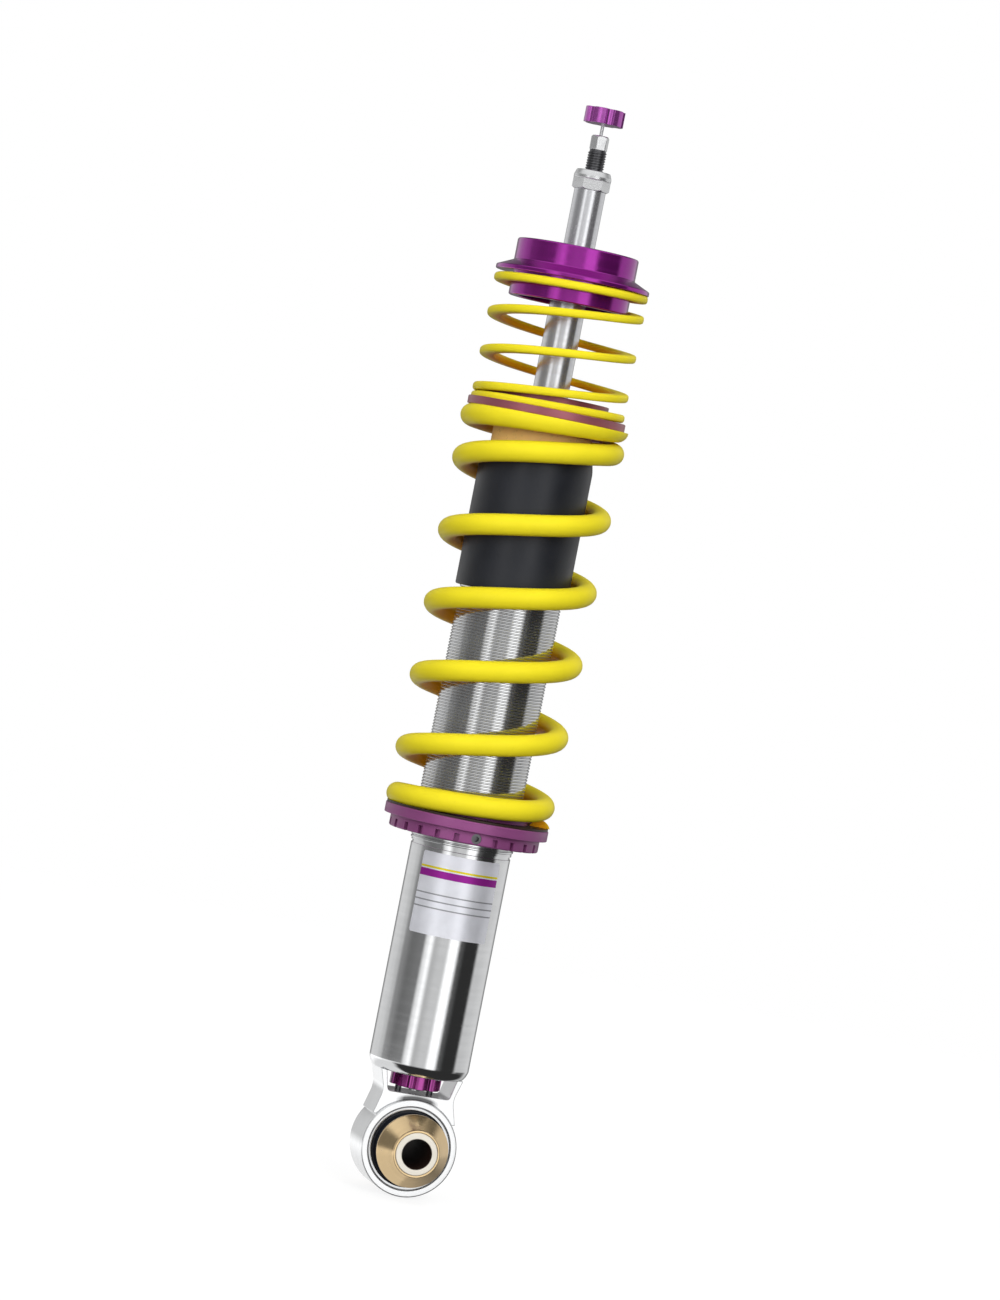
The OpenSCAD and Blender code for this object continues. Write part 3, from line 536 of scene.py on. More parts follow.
def make_finishes(colours, sizes):
    """Every shader group and material of the part, by its plain name."""
    for build in (build_turning_marks, build_mottle, build_orange_peel, build_pores,
                  build_scuffs):
        build()
    crest, eye = reach("outer_tube"), reach("eye_ring")
    steel, turned = colours.steel, colours.turned
    turned_metal("polished_steel", steel, 0.07, 2400.0, 0.004 * MM, spread=0.05)
    turned_metal("polished_eye", steel, 0.14, 2600.0, 0.006 * MM, eye=True, metallic=0.8)
    # The neck gets painted shade in its corner just over the eye ring.
    crevice_metal("neck_steel", steel, 0.14, eye + 1.2 * MM, eye + 2.6 * MM, 7 * MM)
    threaded_metal("thread_steel", steel, 0.08, crest - sizes.thread_depth, crest - 0.1 * MM)
    turned_metal("chromed_rod", colours.chrome, 0.19, 5200.0, 0.002 * MM, spread=0.04,
                 metallic=0.88)
    turned_metal("machined_steel", turned, 0.24, 2600.0, 0.012 * MM, metallic=0.85)
    turned_metal("machined_eye", turned, 0.2, 2600.0, 0.01 * MM, eye=True)
    bored_sleeve("sleeve_steel", colours.sleeve, colours.dark_bore, SLEEVE_BORE)
    turned_metal("black_steel", colours.black_steel, 0.34, 2600.0, 0.01 * MM)
    turned_metal("yellow_zinc", colours.zinc, 0.17, 2200.0, 0.012 * MM, eye=True,
                 metallic=0.95)
    turned_metal("bronze", colours.bronze, 0.26, 2600.0, 0.01 * MM)
    anodised("purple_anodised", colours.purple, 0.13, 0.84)
    anodised("perch_anodised", colours.dull_purple, 0.42, 0.3, 0.15)
    anodised("magenta_anodised", colours.magenta, 0.09, 0.9, 1.0)
    anodised("lilac_anodised", colours.lilac, 0.16, 0.8)
    anodised("mauve_anodised", colours.mauve, 0.36, 0.45, 0.2)
    # The springs get painted shade in a darker golden yellow.
    powder_coat("spring_yellow", colours.yellow, colours.golden)
    cellular_foam("foam_orange", colours.foam)
    moulded_rubber("black_rubber", colours.rubber, 0.4)
    # The slip washer's plastic carries painted shade, a dark brown.
    moulded_rubber("black_plastic", colours.plastic, 0.42)
    moulded_rubber("white_ink", colours.ink, 0.5)
    silver_label("silver_foil", colours.foil, colours.purple, colours.yellow, high("label"),
                 low("label"))


# ---- Shaping --------------------------------------------------------------

def add_object(name, data):
    """Puts a new object for a mesh, a lamp or a camera into the scene."""
    thing = bpy.data.objects.new(name, data)
    bpy.context.scene.collection.objects.link(thing)
    return thing


def add_mesh(name, bm):
    """Puts a bmesh into the scene as an object, and frees it."""
    mesh = bpy.data.meshes.new(name)
    bm.to_mesh(mesh)
    bm.free()
    return add_object(name, mesh)


def to_piece(name, bm, finish, body, node=None, sharp=35, even=True):
    """Turns a bmesh into a finished object that rides on a body and may replace a node."""
    piece = add_mesh(name, bm)
    piece.data.materials.append(FINISHES[finish])
    smooth(piece, sharp, even)
    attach(piece, body)
    if node is not None:
        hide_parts(node)
    return piece


def smooth(piece, sharp=35, even=True):
    """Smooth shading, broken at edges steeper than an angle in degrees. Even shading keeps
    a broad face flat up to its rounded edge."""
    piece.data.shade_smooth()
    piece.data.set_sharp_from_angle(angle=math.radians(sharp))
    if even:
        weighting = piece.modifiers.new("even_shading", "WEIGHTED_NORMAL")
        weighting.keep_sharp = True
        weighting.weight = 50
        apply_modifiers(piece)


def shift(bm, vec):
    bmesh.ops.translate(bm, verts=bm.verts[:], vec=vec)


def rotate(bm, angle, axis="Z"):
    bmesh.ops.rotate(bm, verts=bm.verts[:], cent=(0, 0, 0),
                     matrix=Matrix.Rotation(angle, 3, axis))


def only(kind, geom):
    """The elements of one kind among what an operator gives back."""
    return [item for item in geom if isinstance(item, kind)]


def face_outwards(bm):
    bmesh.ops.recalc_face_normals(bm, faces=bm.faces[:])


def cap_ends(bm):
    """Closes every open rim."""
    open_rims = [edge for edge in bm.edges if edge.is_boundary]
    bmesh.ops.holes_fill(bm, edges=open_rims, sides=0)


def round_off(bm, picked, radius, segments, affect="VERTICES", clamp=True):
    """Rounds corners or edges of a bmesh."""
    bmesh.ops.bevel(bm, geom=picked, offset=radius, offset_type="OFFSET", segments=segments,
                    profile=0.5, affect=affect, clamp_overlap=clamp, material=-1)


def lathe(corners, facets, axis="Z"):
    """A closed turned body; corners are (radius, height, edge radius), anticlockwise."""
    bm = bmesh.new()
    verts = [bm.verts.new((radius, 0, height)) for radius, height, _ in corners]
    bm.faces.new(verts)
    for size in sorted({corner[2] for corner in corners if corner[2] > 0}):
        picked = [vert for vert, corner in zip(verts, corners) if corner[2] == size]
        round_off(bm, picked, size, 3)
    bmesh.ops.delete(bm, geom=bm.faces[:], context="FACES_ONLY")
    on_axis = [edge for edge in bm.edges if all(vert.co.x < 1e-9 for vert in edge.verts)]
    bmesh.ops.delete(bm, geom=on_axis, context="EDGES")
    bmesh.ops.spin(bm, geom=bm.verts[:] + bm.edges[:], axis=Z_AXIS, angle=FULL_TURN,
                   steps=facets, use_merge=True)
    bmesh.ops.remove_doubles(bm, verts=bm.verts[:], dist=1e-7)
    bmesh.ops.dissolve_degenerate(bm, edges=bm.edges[:], dist=1e-8)
    face_outwards(bm)
    if axis == "Y":
        rotate(bm, math.radians(90), "X")
    return bm


def turned_ring(inner, outer, bottom, top, edge, facets, axis="Z"):
    """A plain ring with broken edges."""
    return lathe([(inner, bottom, edge), (outer, bottom, edge), (outer, top, edge),
                  (inner, top, edge)], facets, axis)


def thread_ridge(root, crest, pitch, bottom, top, facets):
    """A helical ridge with a flat crest, its foot sunk in the core."""
    sunk = root - 0.12 * MM
    foot, land = pitch * 0.46, pitch * 0.4 / 2
    bm = bmesh.new()
    verts = [bm.verts.new((radius, 0, bottom + height)) for radius, height in (
        (sunk, 0), (crest, foot - land), (crest, foot + land), (sunk, 2 * foot))]
    for first, second in zip(verts, verts[1:] + verts[:1]):
        bm.edges.new((first, second))
    bmesh.ops.spin(bm, geom=bm.verts[:] + bm.edges[:], axis=Z_AXIS, angle=FULL_TURN,
                   dvec=Z_AXIS * (pitch / facets), steps=facets)
    one_turn = bm.verts[:] + bm.edges[:] + bm.faces[:]
    for turn in range(1, int((top - bottom - 2 * foot) / pitch)):
        copied = bmesh.ops.duplicate(bm, geom=one_turn)["geom"]
        bmesh.ops.translate(bm, vec=Z_AXIS * (pitch * turn),
                            verts=only(bmesh.types.BMVert, copied))
    bmesh.ops.remove_doubles(bm, verts=bm.verts[:], dist=1e-6)
    cap_ends(bm)
    face_outwards(bm)
    return bm


def join(target, *others):
    """Adds other bmeshes to the first one and frees them."""
    for other in others:
        holder = bpy.data.meshes.new("joined")
        other.to_mesh(holder)
        other.free()
        target.from_mesh(holder)
        bpy.data.meshes.remove(holder)
    return target


def raise_faces(bm, faces, depth):
    """Draws flat faces up along Z into a solid."""
    raised = bmesh.ops.extrude_face_region(bm, geom=faces)["geom"]
    bmesh.ops.translate(bm, vec=(0, 0, depth), verts=only(bmesh.types.BMVert, raised))


def prism(outline, depth):
    """An outline of (x, y) points drawn up along Z from zero."""
    bm = bmesh.new()
    face = bm.faces.new([bm.verts.new((x, y, 0)) for x, y in outline])
    raise_faces(bm, [face], depth)
    face_outwards(bm)
    return bm


def cylinder(radius, bottom, top, facets):
    bm = bmesh.new()
    bmesh.ops.create_cone(bm, cap_ends=True, segments=facets, radius1=radius, radius2=radius,
                          depth=top - bottom,
                          matrix=Matrix.Translation((0, 0, (top + bottom) / 2)))
    return bm


def corner_radius(across):
    """Radius to the corners of a hexagon, from its width across the flats."""
    return across / 2 / math.cos(math.pi / 6)


def hexagon(across, bottom, top, facing):
    """A hexagonal prism across its flats, one of them facing an angle round Z."""
    bm = cylinder(corner_radius(across), bottom, top, 6)
    rotate(bm, facing)
    return bm


def lobed_disc(lobes, rim, bottom, top, facets, hole):
    """A disc with scallops between its lobes, and a hole."""
    scallop, away = 2.6 * MM, rim + 1.2 * MM
    cutters = []
    for index in range(lobes):
        angle = (index + 0.5) * FULL_TURN / lobes
        cutter = cylinder(scallop, bottom - MM, top + MM, 32)
        shift(cutter, (away * math.cos(angle), away * math.sin(angle), 0))
        cutters.append(cutter)
    return carve(cylinder(rim, bottom, top, facets), cutters + [hole])


def apply_modifiers(piece):
    """Freezes a piece's modifiers into its mesh."""
    graph = bpy.context.evaluated_depsgraph_get()
    graph.update()
    finished = bpy.data.meshes.new_from_object(piece.evaluated_get(graph))
    piece.modifiers.clear()
    old = piece.data
    name = old.name
    piece.data = finished
    bpy.data.meshes.remove(old)
    finished.name = name


def carve(bm, cutters, operation="DIFFERENCE"):
    """Cuts bmeshes out of a bmesh, or adds them to it, and gives back the result."""
    body = add_mesh("carve_body", bm)
    tools = [add_mesh("carve_tool", cutter) for cutter in cutters]
    for tool in tools:
        cut = body.modifiers.new("cut", "BOOLEAN")
        cut.operation = operation
        cut.solver = "EXACT"
        cut.object = tool
    apply_modifiers(body)
    result = bmesh.new()
    result.from_mesh(body.data)
    for thing in [body] + tools:
        mesh = thing.data
        bpy.data.objects.remove(thing)
        bpy.data.meshes.remove(mesh)
    bmesh.ops.dissolve_limit(result, angle_limit=math.radians(0.5),
                             verts=result.verts[:], edges=result.edges[:])
    return result


def break_edges(piece, width, angle=40, segments=2):
    """Rounds the sharp edges of a piece, so that they catch the light."""
    rounding = piece.modifiers.new("broken_edges", "BEVEL")
    rounding.width = width
    rounding.segments = segments
    rounding.limit_method = "ANGLE"
    rounding.angle_limit = math.radians(angle)
    rounding.use_clamp_overlap = True
    apply_modifiers(piece)
    smooth(piece)


# ---- Springs --------------------------------------------------------------

SHADED_END = 0.12     # turns at each end of a wire that get painted shade where the coils close
COIL_STEPS = 64     # rings of vertices in one turn of a wire


def eased_sum(x):
    """Running sum of a smooth step from 0 to 1."""
    if x <= 0:
        return 0.0
    return x - 0.5 if x >= 1 else x ** 3 - x ** 4 / 2


def coil_heights(sizes, spring, wire, free_length):
    """The height of the wire's centre at any turn, with closed and ground ends."""
    turns, sinks, closed = (getattr(sizes, spring + size)
                            for size in ("_turns", "_sinks", "_closed"))
    pitch = wire + sizes.closed_gap
    extra = ((free_length - sum(sinks) - pitch * turns)
             / (turns - sum(closed) - sizes.open_turns))

    def risen(from_end, end):
        opened = sizes.open_turns * eased_sum((from_end - closed[end]) / sizes.open_turns)
        return sinks[end] + pitch * from_end + extra * opened

    def height(turn):
        if turn < turns / 2:
            return risen(turn, 0)
        return free_length - risen(turns - turn, 1)
    return height


def coil(section, middle, turns, height, start):
    """A wire drawn round the Z axis step by step, from its section and its heights. It carries a
    share of painted shade that grows inwards, downwards and towards both ends."""
    bm = bmesh.new()
    hidden = bm.verts.layers.float.new("hidden_side")
    widest, highest = (max(reaches) for reaches in zip(*section))
    verts = [bm.verts.new((middle + out, 0, up)) for out, up in section]
    bm.faces.new(verts)
    # Painted shade share: more on the inner and lower side of the wire.
    for vert, (out, up) in zip(verts, section):
        vert[hidden] = -0.85 * out / widest - 0.5 * up / highest
    rim = bm.edges[:]
    count = round(turns * COIL_STEPS)
    heights = [height(turns * step / count) for step in range(count + 1)]
    rotate(bm, start)
    shift(bm, (0, 0, heights[0]))
    turning = Matrix.Rotation(FULL_TURN * turns / count, 3, "Z")
    rings = [verts]
    for step in range(count):
        drawn = bmesh.ops.extrude_edge_only(bm, edges=rim)["geom"]
        rim = only(bmesh.types.BMEdge, drawn)
        moved = only(bmesh.types.BMVert, drawn)
        bmesh.ops.rotate(bm, verts=moved, cent=(0, 0, 0), matrix=turning)
        bmesh.ops.translate(bm, verts=moved, vec=(0, 0, heights[step + 1] - heights[step]))
        rings.append(moved)
    # Painted shade share also grows towards both ends of the wire.
    for step, ring in enumerate(rings):
        from_end = turns * min(step, count - step) / count
        for vert in ring:
            vert[hidden] += 1.5 * max(0.0, 1 - from_end / SHADED_END)
    cap_ends(bm)
    return bm


def grind(bm, free_length, bottom):
    """Cuts both ends of a coil flat and lifts it to its seat."""
    for height, up in ((0, -1), (free_length, 1)):
        bmesh.ops.bisect_plane(bm, geom=bm.verts[:] + bm.edges[:] + bm.faces[:], dist=1e-8,
                               plane_co=(0, 0, height), plane_no=(0, 0, up),
                               clear_outer=True)
        cap_ends(bm)
    shift(bm, (0, 0, bottom))
    face_outwards(bm)
    return bm


def round_section(radius, sides):
    turns = [FULL_TURN * side / sides for side in range(sides)]
    return [(radius * math.cos(turn), radius * math.sin(turn)) for turn in turns]


def flat_section(width, height, corner):
    """A rectangle with round corners, anticlockwise."""
    points = []
    arc = 4
    for quarter, (side, level) in enumerate(((1, 1), (-1, 1), (-1, -1), (1, -1))):
        for step in range(arc + 1):
            angle = (quarter + step / arc) * math.pi / 2
            points.append((side * (width / 2 - corner) + corner * math.cos(angle),
                           level * (height / 2 - corner) + corner * math.sin(angle)))
    return points


# ---- Operators ------------------------------------------------------------

class COILOVER_OT_finishes(bpy.types.Operator):
    """Make the shader groups and the materials"""
    bl_idname = "coilover.finishes"
    bl_label = "Finishes"

    def execute(self, context):
        make_finishes(context.scene.coilover_colours, context.scene.coilover_sizes)
        return {"FINISHED"}


class COILOVER_OT_body(bpy.types.Operator):
    """Make the threaded body tube and its label"""
    bl_idname = "coilover.body"
    bl_label = "Body and label"

    def execute(self, context):
        sizes = context.scene.coilover_sizes
        bottom, top = low("outer_tube"), high("outer_tube")
        plain, crest = reach("end_cap"), reach("outer_tube")
        bore = plain - 2.5 * MM
        root, start = crest - sizes.thread_depth, sizes.thread_start
        groove, groove_foot = plain - 0.5 * MM, start - 1.4 * MM
        tube = lathe([(bore, bottom, 0), (plain, bottom, 0), (plain, groove_foot, 0.3 * MM),
                      (groove, groove_foot, 0), (groove, start, 0), (root, start, 0),
                      (root, top, 0.3 * MM), (bore, top, 0)], sizes.around)
        ridge = thread_ridge(root, crest - 0.02 * MM, sizes.thread_pitch, start, top, 72)
        to_piece("body_tube", tube, "polished_steel", "damper", "outer_tube")
        to_piece("body_thread", ridge, "thread_steel", "damper", "outer_tube",
                 sharp=25, even=False)
        self.label(plain + 0.05 * MM, sizes.label_angle, math.radians(98))
        return {"FINISHED"}

    def label(self, radius, middle, span):
        """A thin foil with round corners, bent round the body."""
        bottom, top = low("label"), high("label")
        bm = bmesh.new()
        bmesh.ops.create_grid(bm, x_segments=48, y_segments=24, size=0.5)
        bmesh.ops.scale(bm, verts=bm.verts[:], vec=(radius * span, top - bottom, 1))
        corners = [vert for vert in bm.verts if len(vert.link_edges) == 2]
        round_off(bm, corners, 1.6 * MM, 4, clamp=False)
        bmesh.ops.solidify(bm, geom=bm.faces[:], thickness=0.1 * MM)
        for vert in bm.verts:
            turn = middle + vert.co.x / radius
            out = radius + abs(vert.co.z)
            vert.co = (out * math.cos(turn), out * math.sin(turn),
                       (top + bottom) / 2 + vert.co.y)
        face_outwards(bm)
        to_piece("label_foil", bm, "silver_foil", "damper", "label", even=False)


class COILOVER_OT_eye(bpy.types.Operator):
    """Make the eye ring, its bush and the cone washers"""
    bl_idname = "coilover.eye"
    bl_label = "Eye and bush"

    def execute(self, context):
        facets = context.scene.coilover_sizes.around
        shell, rubber = reach("bush_shell"), reach("bush_rubber")
        sleeve = reach("bush_sleeve")
        self.ring("eye_ring", "_polished", shell, reach("eye_ring"), 0.7 * MM, facets,
                  "polished_eye", "damper", "polished_steel")
        self.ring("bush_shell", "_turned", rubber, shell - 0.03 * MM, 0.35 * MM, facets,
                  "machined_eye", "damper", "machined_steel")
        self.rubber(rubber, sleeve, facets)
        self.ring("bush_sleeve", "_turned", SLEEVE_BORE, sleeve, 0.4 * MM, facets,
                  "sleeve_steel", "bush_centre", "machined_steel")
        for node in ("front_cone_washer", "rear_cone_washer"):
            self.cone(node, sleeve, facets)
        return {"FINISHED"}

    def ring(self, node, ending, inner, outer, edge, facets, finish, body, slot):
        """A ring round the eye's axis, as deep as its node."""
        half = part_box(node)[1].y
        to_piece(node + ending, turned_ring(inner, outer, -half, half, edge, facets, "Y"),
                 finish, body, node)

    def rubber(self, outer, inner, facets):
        """Rubber whose core stands out to the cone washers, with a groove round it."""
        half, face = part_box("bush_rubber")[1].y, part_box("eye_ring")[1].y - 2 * MM
        core, inner = 17.2 * MM, inner + 0.05 * MM
        front = [(inner, -half, 0), (core - MM, -half, 0.4 * MM),
                 (core, 2 * MM - half, 1.2 * MM), (core, -face, 0.8 * MM),
                 (outer, -face, 0.3 * MM)]
        rear = [(radius, -height, edge) for radius, height, edge in reversed(front)]
        to_piece("bush_rubber_moulded", lathe(front + rear, facets, "Y"), "black_rubber",
                 "damper", "bush_rubber")

    def cone(self, node, sleeve, facets):
        """A cone washer with a short rim, its small face outwards."""
        near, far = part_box(node)
        foot, face = sorted((abs(near.y), abs(far.y)))
        wide, narrow = far.x, 11.7 * MM
        bm = lathe([(sleeve, foot, 0), (wide, foot, 0.3 * MM),
                    (wide, foot + 1.2 * MM, 0.35 * MM), (narrow, face - MM, 0.4 * MM),
                    (narrow, face, 0.3 * MM), (sleeve, face, 0.2 * MM)], facets, "Y")
        if far.y > 0:
            rotate(bm, math.pi)
        to_piece(node + "_plated", bm, "yellow_zinc", "bush_centre", node)


class COILOVER_OT_neck(bpy.types.Operator):
    """Make the end cap with its neck and the compression wheel"""
    bl_idname = "coilover.neck"
    bl_label = "Neck and compression wheel"

    def execute(self, context):
        facets = context.scene.coilover_sizes.around
        window = reach("eye_ring") + 2.3 * MM
        roof = window + 9.8 * MM
        body, bore = reach("end_cap"), reach("foot_valve")
        seam, top = low("outer_tube"), high("end_cap")
        lip = lathe([(0, roof, 0), (21.9 * MM, roof, 0.7 * MM),
                     (23.6 * MM, roof + 1.6 * MM, 2 * MM), (body, seam - 0.6 * MM, 1.2 * MM),
                     (body, seam, 0), (bore, seam, 0), (bore, top, 0.3 * MM), (0, top, 0)],
                    facets)
        to_piece("end_cap_polished", lip, "polished_steel", "damper", "end_cap")
        self.neck(window, roof)
        self.wheel(facets)
        return {"FINISHED"}

    def neck(self, window, roof):
        """Flat-sided neck between the body and the eye, with the wheel's window."""
        top, waist, foot, foot_height = 20.9 * MM, 17.8 * MM, 21 * MM, 14.4 * MM
        depth = 22 * MM
        head = roof + 0.4 * MM
        sides = prism([(-top, head), (-waist, window), (-foot, foot_height),
                       (foot, foot_height), (waist, window), (top, head)], depth)
        self.round_uprights(sides, waist, 3 * MM)
        sill, lintel, over = waist - 2.2 * MM, top - 3.1 * MM, roof + 2 * MM
        opening = prism([(-sill, window), (sill, window), (lintel, roof), (lintel, over),
                         (-lintel, over), (-lintel, roof)], 3 * depth)
        self.round_uprights(opening, sill, 1.6 * MM)
        ring = cylinder(reach("eye_ring") - 0.05 * MM, -depth, 3 * depth, 128)
        neck = carve(sides, [opening, ring])
        shift(neck, (0, 0, -depth / 2))
        rotate(neck, math.radians(90), "X")
        piece = to_piece("neck_polished", neck, "neck_steel", "damper", "end_cap")
        break_edges(piece, 0.5 * MM, segments=3)

    def round_uprights(self, bm, half_width, radius):
        """Rounds the long edges that stand at half a width from the middle."""
        picked = [edge for edge in bm.edges
                  if all(abs(abs(vert.co.x) - half_width) < 1e-6 for vert in edge.verts)
                  and abs(edge.verts[0].co.z - edge.verts[1].co.z) > radius]
        round_off(bm, picked, radius, 6, "EDGES")

    def wheel(self, facets):
        """Scalloped compression wheel on its spindle."""
        node = "compression_wheel"
        bottom, top = low(node), high(node)
        hub = cylinder(reach("compression_spindle"), bottom - MM, top + MM, 48)
        wheel = lobed_disc(8, 12.5 * MM, bottom, top, facets, hub)
        piece = to_piece("wheel_scalloped", wheel, "magenta_anodised", "compression_screw",
                         node)
        break_edges(piece, 0.45 * MM, segments=3)


class COILOVER_OT_perch(bpy.types.Operator):
    """Make the lower perch with its spanner notches"""
    bl_idname = "coilover.perch"
    bl_label = "Lower perch"

    def execute(self, context):
        sizes = context.scene.coilover_sizes
        bottom, top = low("lower_perch"), high("lower_perch")
        seat, flange = low("slip_washer") - 0.1 * MM, bottom + 6.2 * MM
        wide, ring = reach("lower_perch"), 37 * MM
        bore = reach("outer_tube") + 0.1 * MM
        collar = reach("spring_coupler") - 9.35 * MM
        edge, grub = sizes.soft_edge, sizes.grub_angle
        body = lathe([(bore, bottom, 0.6 * MM), (ring, bottom, 0.8 * MM),
                      (ring, flange, 0.3 * MM), (wide, flange, edge), (wide, seat, 0.6 * MM),
                      (collar, seat, 0.3 * MM), (collar, top, 0.9 * MM), (bore, top, edge)],
                     176)
        cuts = []
        for index in range(1, sizes.notches):
            cut = bmesh.new()
            bmesh.ops.create_cube(cut, size=1.0)
            bmesh.ops.scale(cut, verts=cut.verts[:], vec=(5 * MM, 2.6 * MM, 8.4 * MM))
            shift(cut, (ring, 0, bottom))
            rotate(cut, grub + index * FULL_TURN / sizes.notches)
            cuts.append(cut)
        hole = cylinder(2.5 * MM, 20 * MM, 45 * MM, 40)
        rotate(hole, math.radians(90), "Y")
        rotate(hole, grub)
        shift(hole, (0, 0, bottom + 3.1 * MM))
        piece = to_piece("lower_perch_notched", carve(body, [join(*cuts), hole]),
                         "perch_anodised", "perch", "lower_perch")
        break_edges(piece, 0.22 * MM, angle=50)
        return {"FINISHED"}


class COILOVER_OT_springs(bpy.types.Operator):
    """Wind the main spring and the helper spring"""
    bl_idname = "coilover.springs"
    bl_label = "Springs"

    def execute(self, context):
        sizes = context.scene.coilover_sizes
        width, height = sizes.helper_width, sizes.helper_height
        coupler = frame_travel("coupler_slide")
        self.wind(sizes, "main", round_section(sizes.wire / 2, 24), sizes.wire, sizes.wire,
                  "spring_seat", coupler)
        self.wind(sizes, "helper", flat_section(width, height, 1.5 * MM), width, height,
                  "coupler", frame_travel("rod_slide") - coupler)
        return {"FINISHED"}

    def wind(self, sizes, spring, section, width, height, body, closing):
        """Winds a spring from its wire's section; how far it closes as the rod goes in is not
        used.
        """
        node = spring + "_spring"
        bottom, top = low(node), high(node)
        heights = coil_heights(sizes, spring, height, top - bottom)
        wire = coil(section, reach(node) - width / 2, getattr(sizes, spring + "_turns"),
                    heights, getattr(sizes, spring + "_start"))
        piece = to_piece(node + "_wound", grind(wire, top - bottom, bottom), "spring_yellow",
                         body, node, sharp=60, even=False)
        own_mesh(piece)


def frame_travel(joint):
    """How far a slide moves from rest to its longer limit."""
    for entry in frame["record"]["behaviour"]["joints"]:
        if entry["name"] == joint:
            return max(abs(limit) for limit in entry["range_m"])
    raise RuntimeError("no joint named " + joint)


class COILOVER_OT_coupler(bpy.types.Operator):
    """Make the coupler between the springs"""
    bl_idname = "coilover.coupler"
    bl_label = "Coupler"

    def execute(self, context):
        sizes = context.scene.coilover_sizes
        edge, flange = sizes.soft_edge, reach("spring_coupler")
        bore, low_spigot, high_spigot = reach("boot") + 0.4 * MM, 29.65 * MM, 29.5 * MM
        flange_low, flange_high = high("main_spring"), low("helper_spring")
        bottom, top = low("spring_coupler"), high("spring_coupler")
        bm = lathe([(bore, bottom, edge), (low_spigot, bottom, edge),
                    (low_spigot, flange_low, 0), (flange, flange_low, 0.5 * MM),
                    (flange, flange_high, 0.5 * MM), (high_spigot, flange_high, 0),
                    (high_spigot, top, edge), (bore, top, edge)], sizes.around)
        to_piece("coupler_turned", bm, "mauve_anodised", "coupler", "spring_coupler")
        return {"FINISHED"}


class COILOVER_OT_bump(bpy.types.Operator):
    """Make the bump stop and the boot"""
    bl_idname = "coilover.bump"
    bl_label = "Bump stop and boot"

    def execute(self, context):
        facets = context.scene.coilover_sizes.around
        bottom, top = low("bump_stop"), high("bump_stop")
        wide, bore = reach("bump_stop"), reach("piston_rod") + 0.5 * MM
        rim, neck = high("boot"), wide - 1.2 * MM
        lip = rim - 2.4 * MM
        foam = lathe([(bore, bottom, 0.5 * MM), (wide, bottom, 2 * MM), (wide, lip, 0.2 * MM),
                      (neck, lip, 0.2 * MM), (neck, rim, 0.2 * MM), (wide, rim, 0.8 * MM),
                      (wide, top - 7 * MM, 3 * MM), (wide - 3 * MM, top - 2.4 * MM, 2 * MM),
                      (wide - 6.5 * MM, top, 1.5 * MM), (bore, top, MM)], facets)
        to_piece("bump_stop_moulded", foam, "foam_orange", "damper", "bump_stop")
        outer, inner, foot = reach("boot"), reach("outer_tube") + 0.3 * MM, low("boot")
        boot = lathe([(inner, foot, 0.5 * MM), (outer, foot, 0.8 * MM),
                      (outer, rim - 5 * MM, 1.5 * MM), (outer - MM, rim, 0.9 * MM),
                      (neck, rim, 0.3 * MM), (neck, lip, 0.2 * MM), (inner, lip, 0.2 * MM)],
                     facets)
        to_piece("boot_moulded", boot, "black_rubber", "damper", "boot")
        return {"FINISHED"}


class COILOVER_OT_top_perch(bpy.types.Operator):
    """Make the top perch"""
    bl_idname = "coilover.top_perch"
    bl_label = "Top perch"

    def execute(self, context):
        bottom, top, flange = low("top_perch"), high("top_perch"), reach("top_perch")
        spring, seat = high("helper_spring"), low("spacer_sleeve")
        rim = spring + 2.1 * MM
        cone, plate = rim + 3.7 * MM, seat - PLATE
        hollow, spigot, collar, recess = 25.5 * MM, 29.5 * MM, 30 * MM, 12 * MM
        bm = lathe([(hollow, bottom, 0.5 * MM), (spigot, bottom, 0.8 * MM),
                    (spigot, spring, 0), (flange, spring, 0.5 * MM), (flange, rim, 0.5 * MM),
                    (collar, cone, 0.4 * MM), (collar, top, 0.9 * MM),
                    (recess, top, 0.2 * MM), (recess, seat, 0), (SHANK, seat, 0),
                    (SHANK, plate, 0), (hollow, plate, 1.5 * MM)],
                   context.scene.coilover_sizes.around)
        to_piece("top_perch_turned", bm, "purple_anodised", "rod", "top_perch")
        return {"FINISHED"}


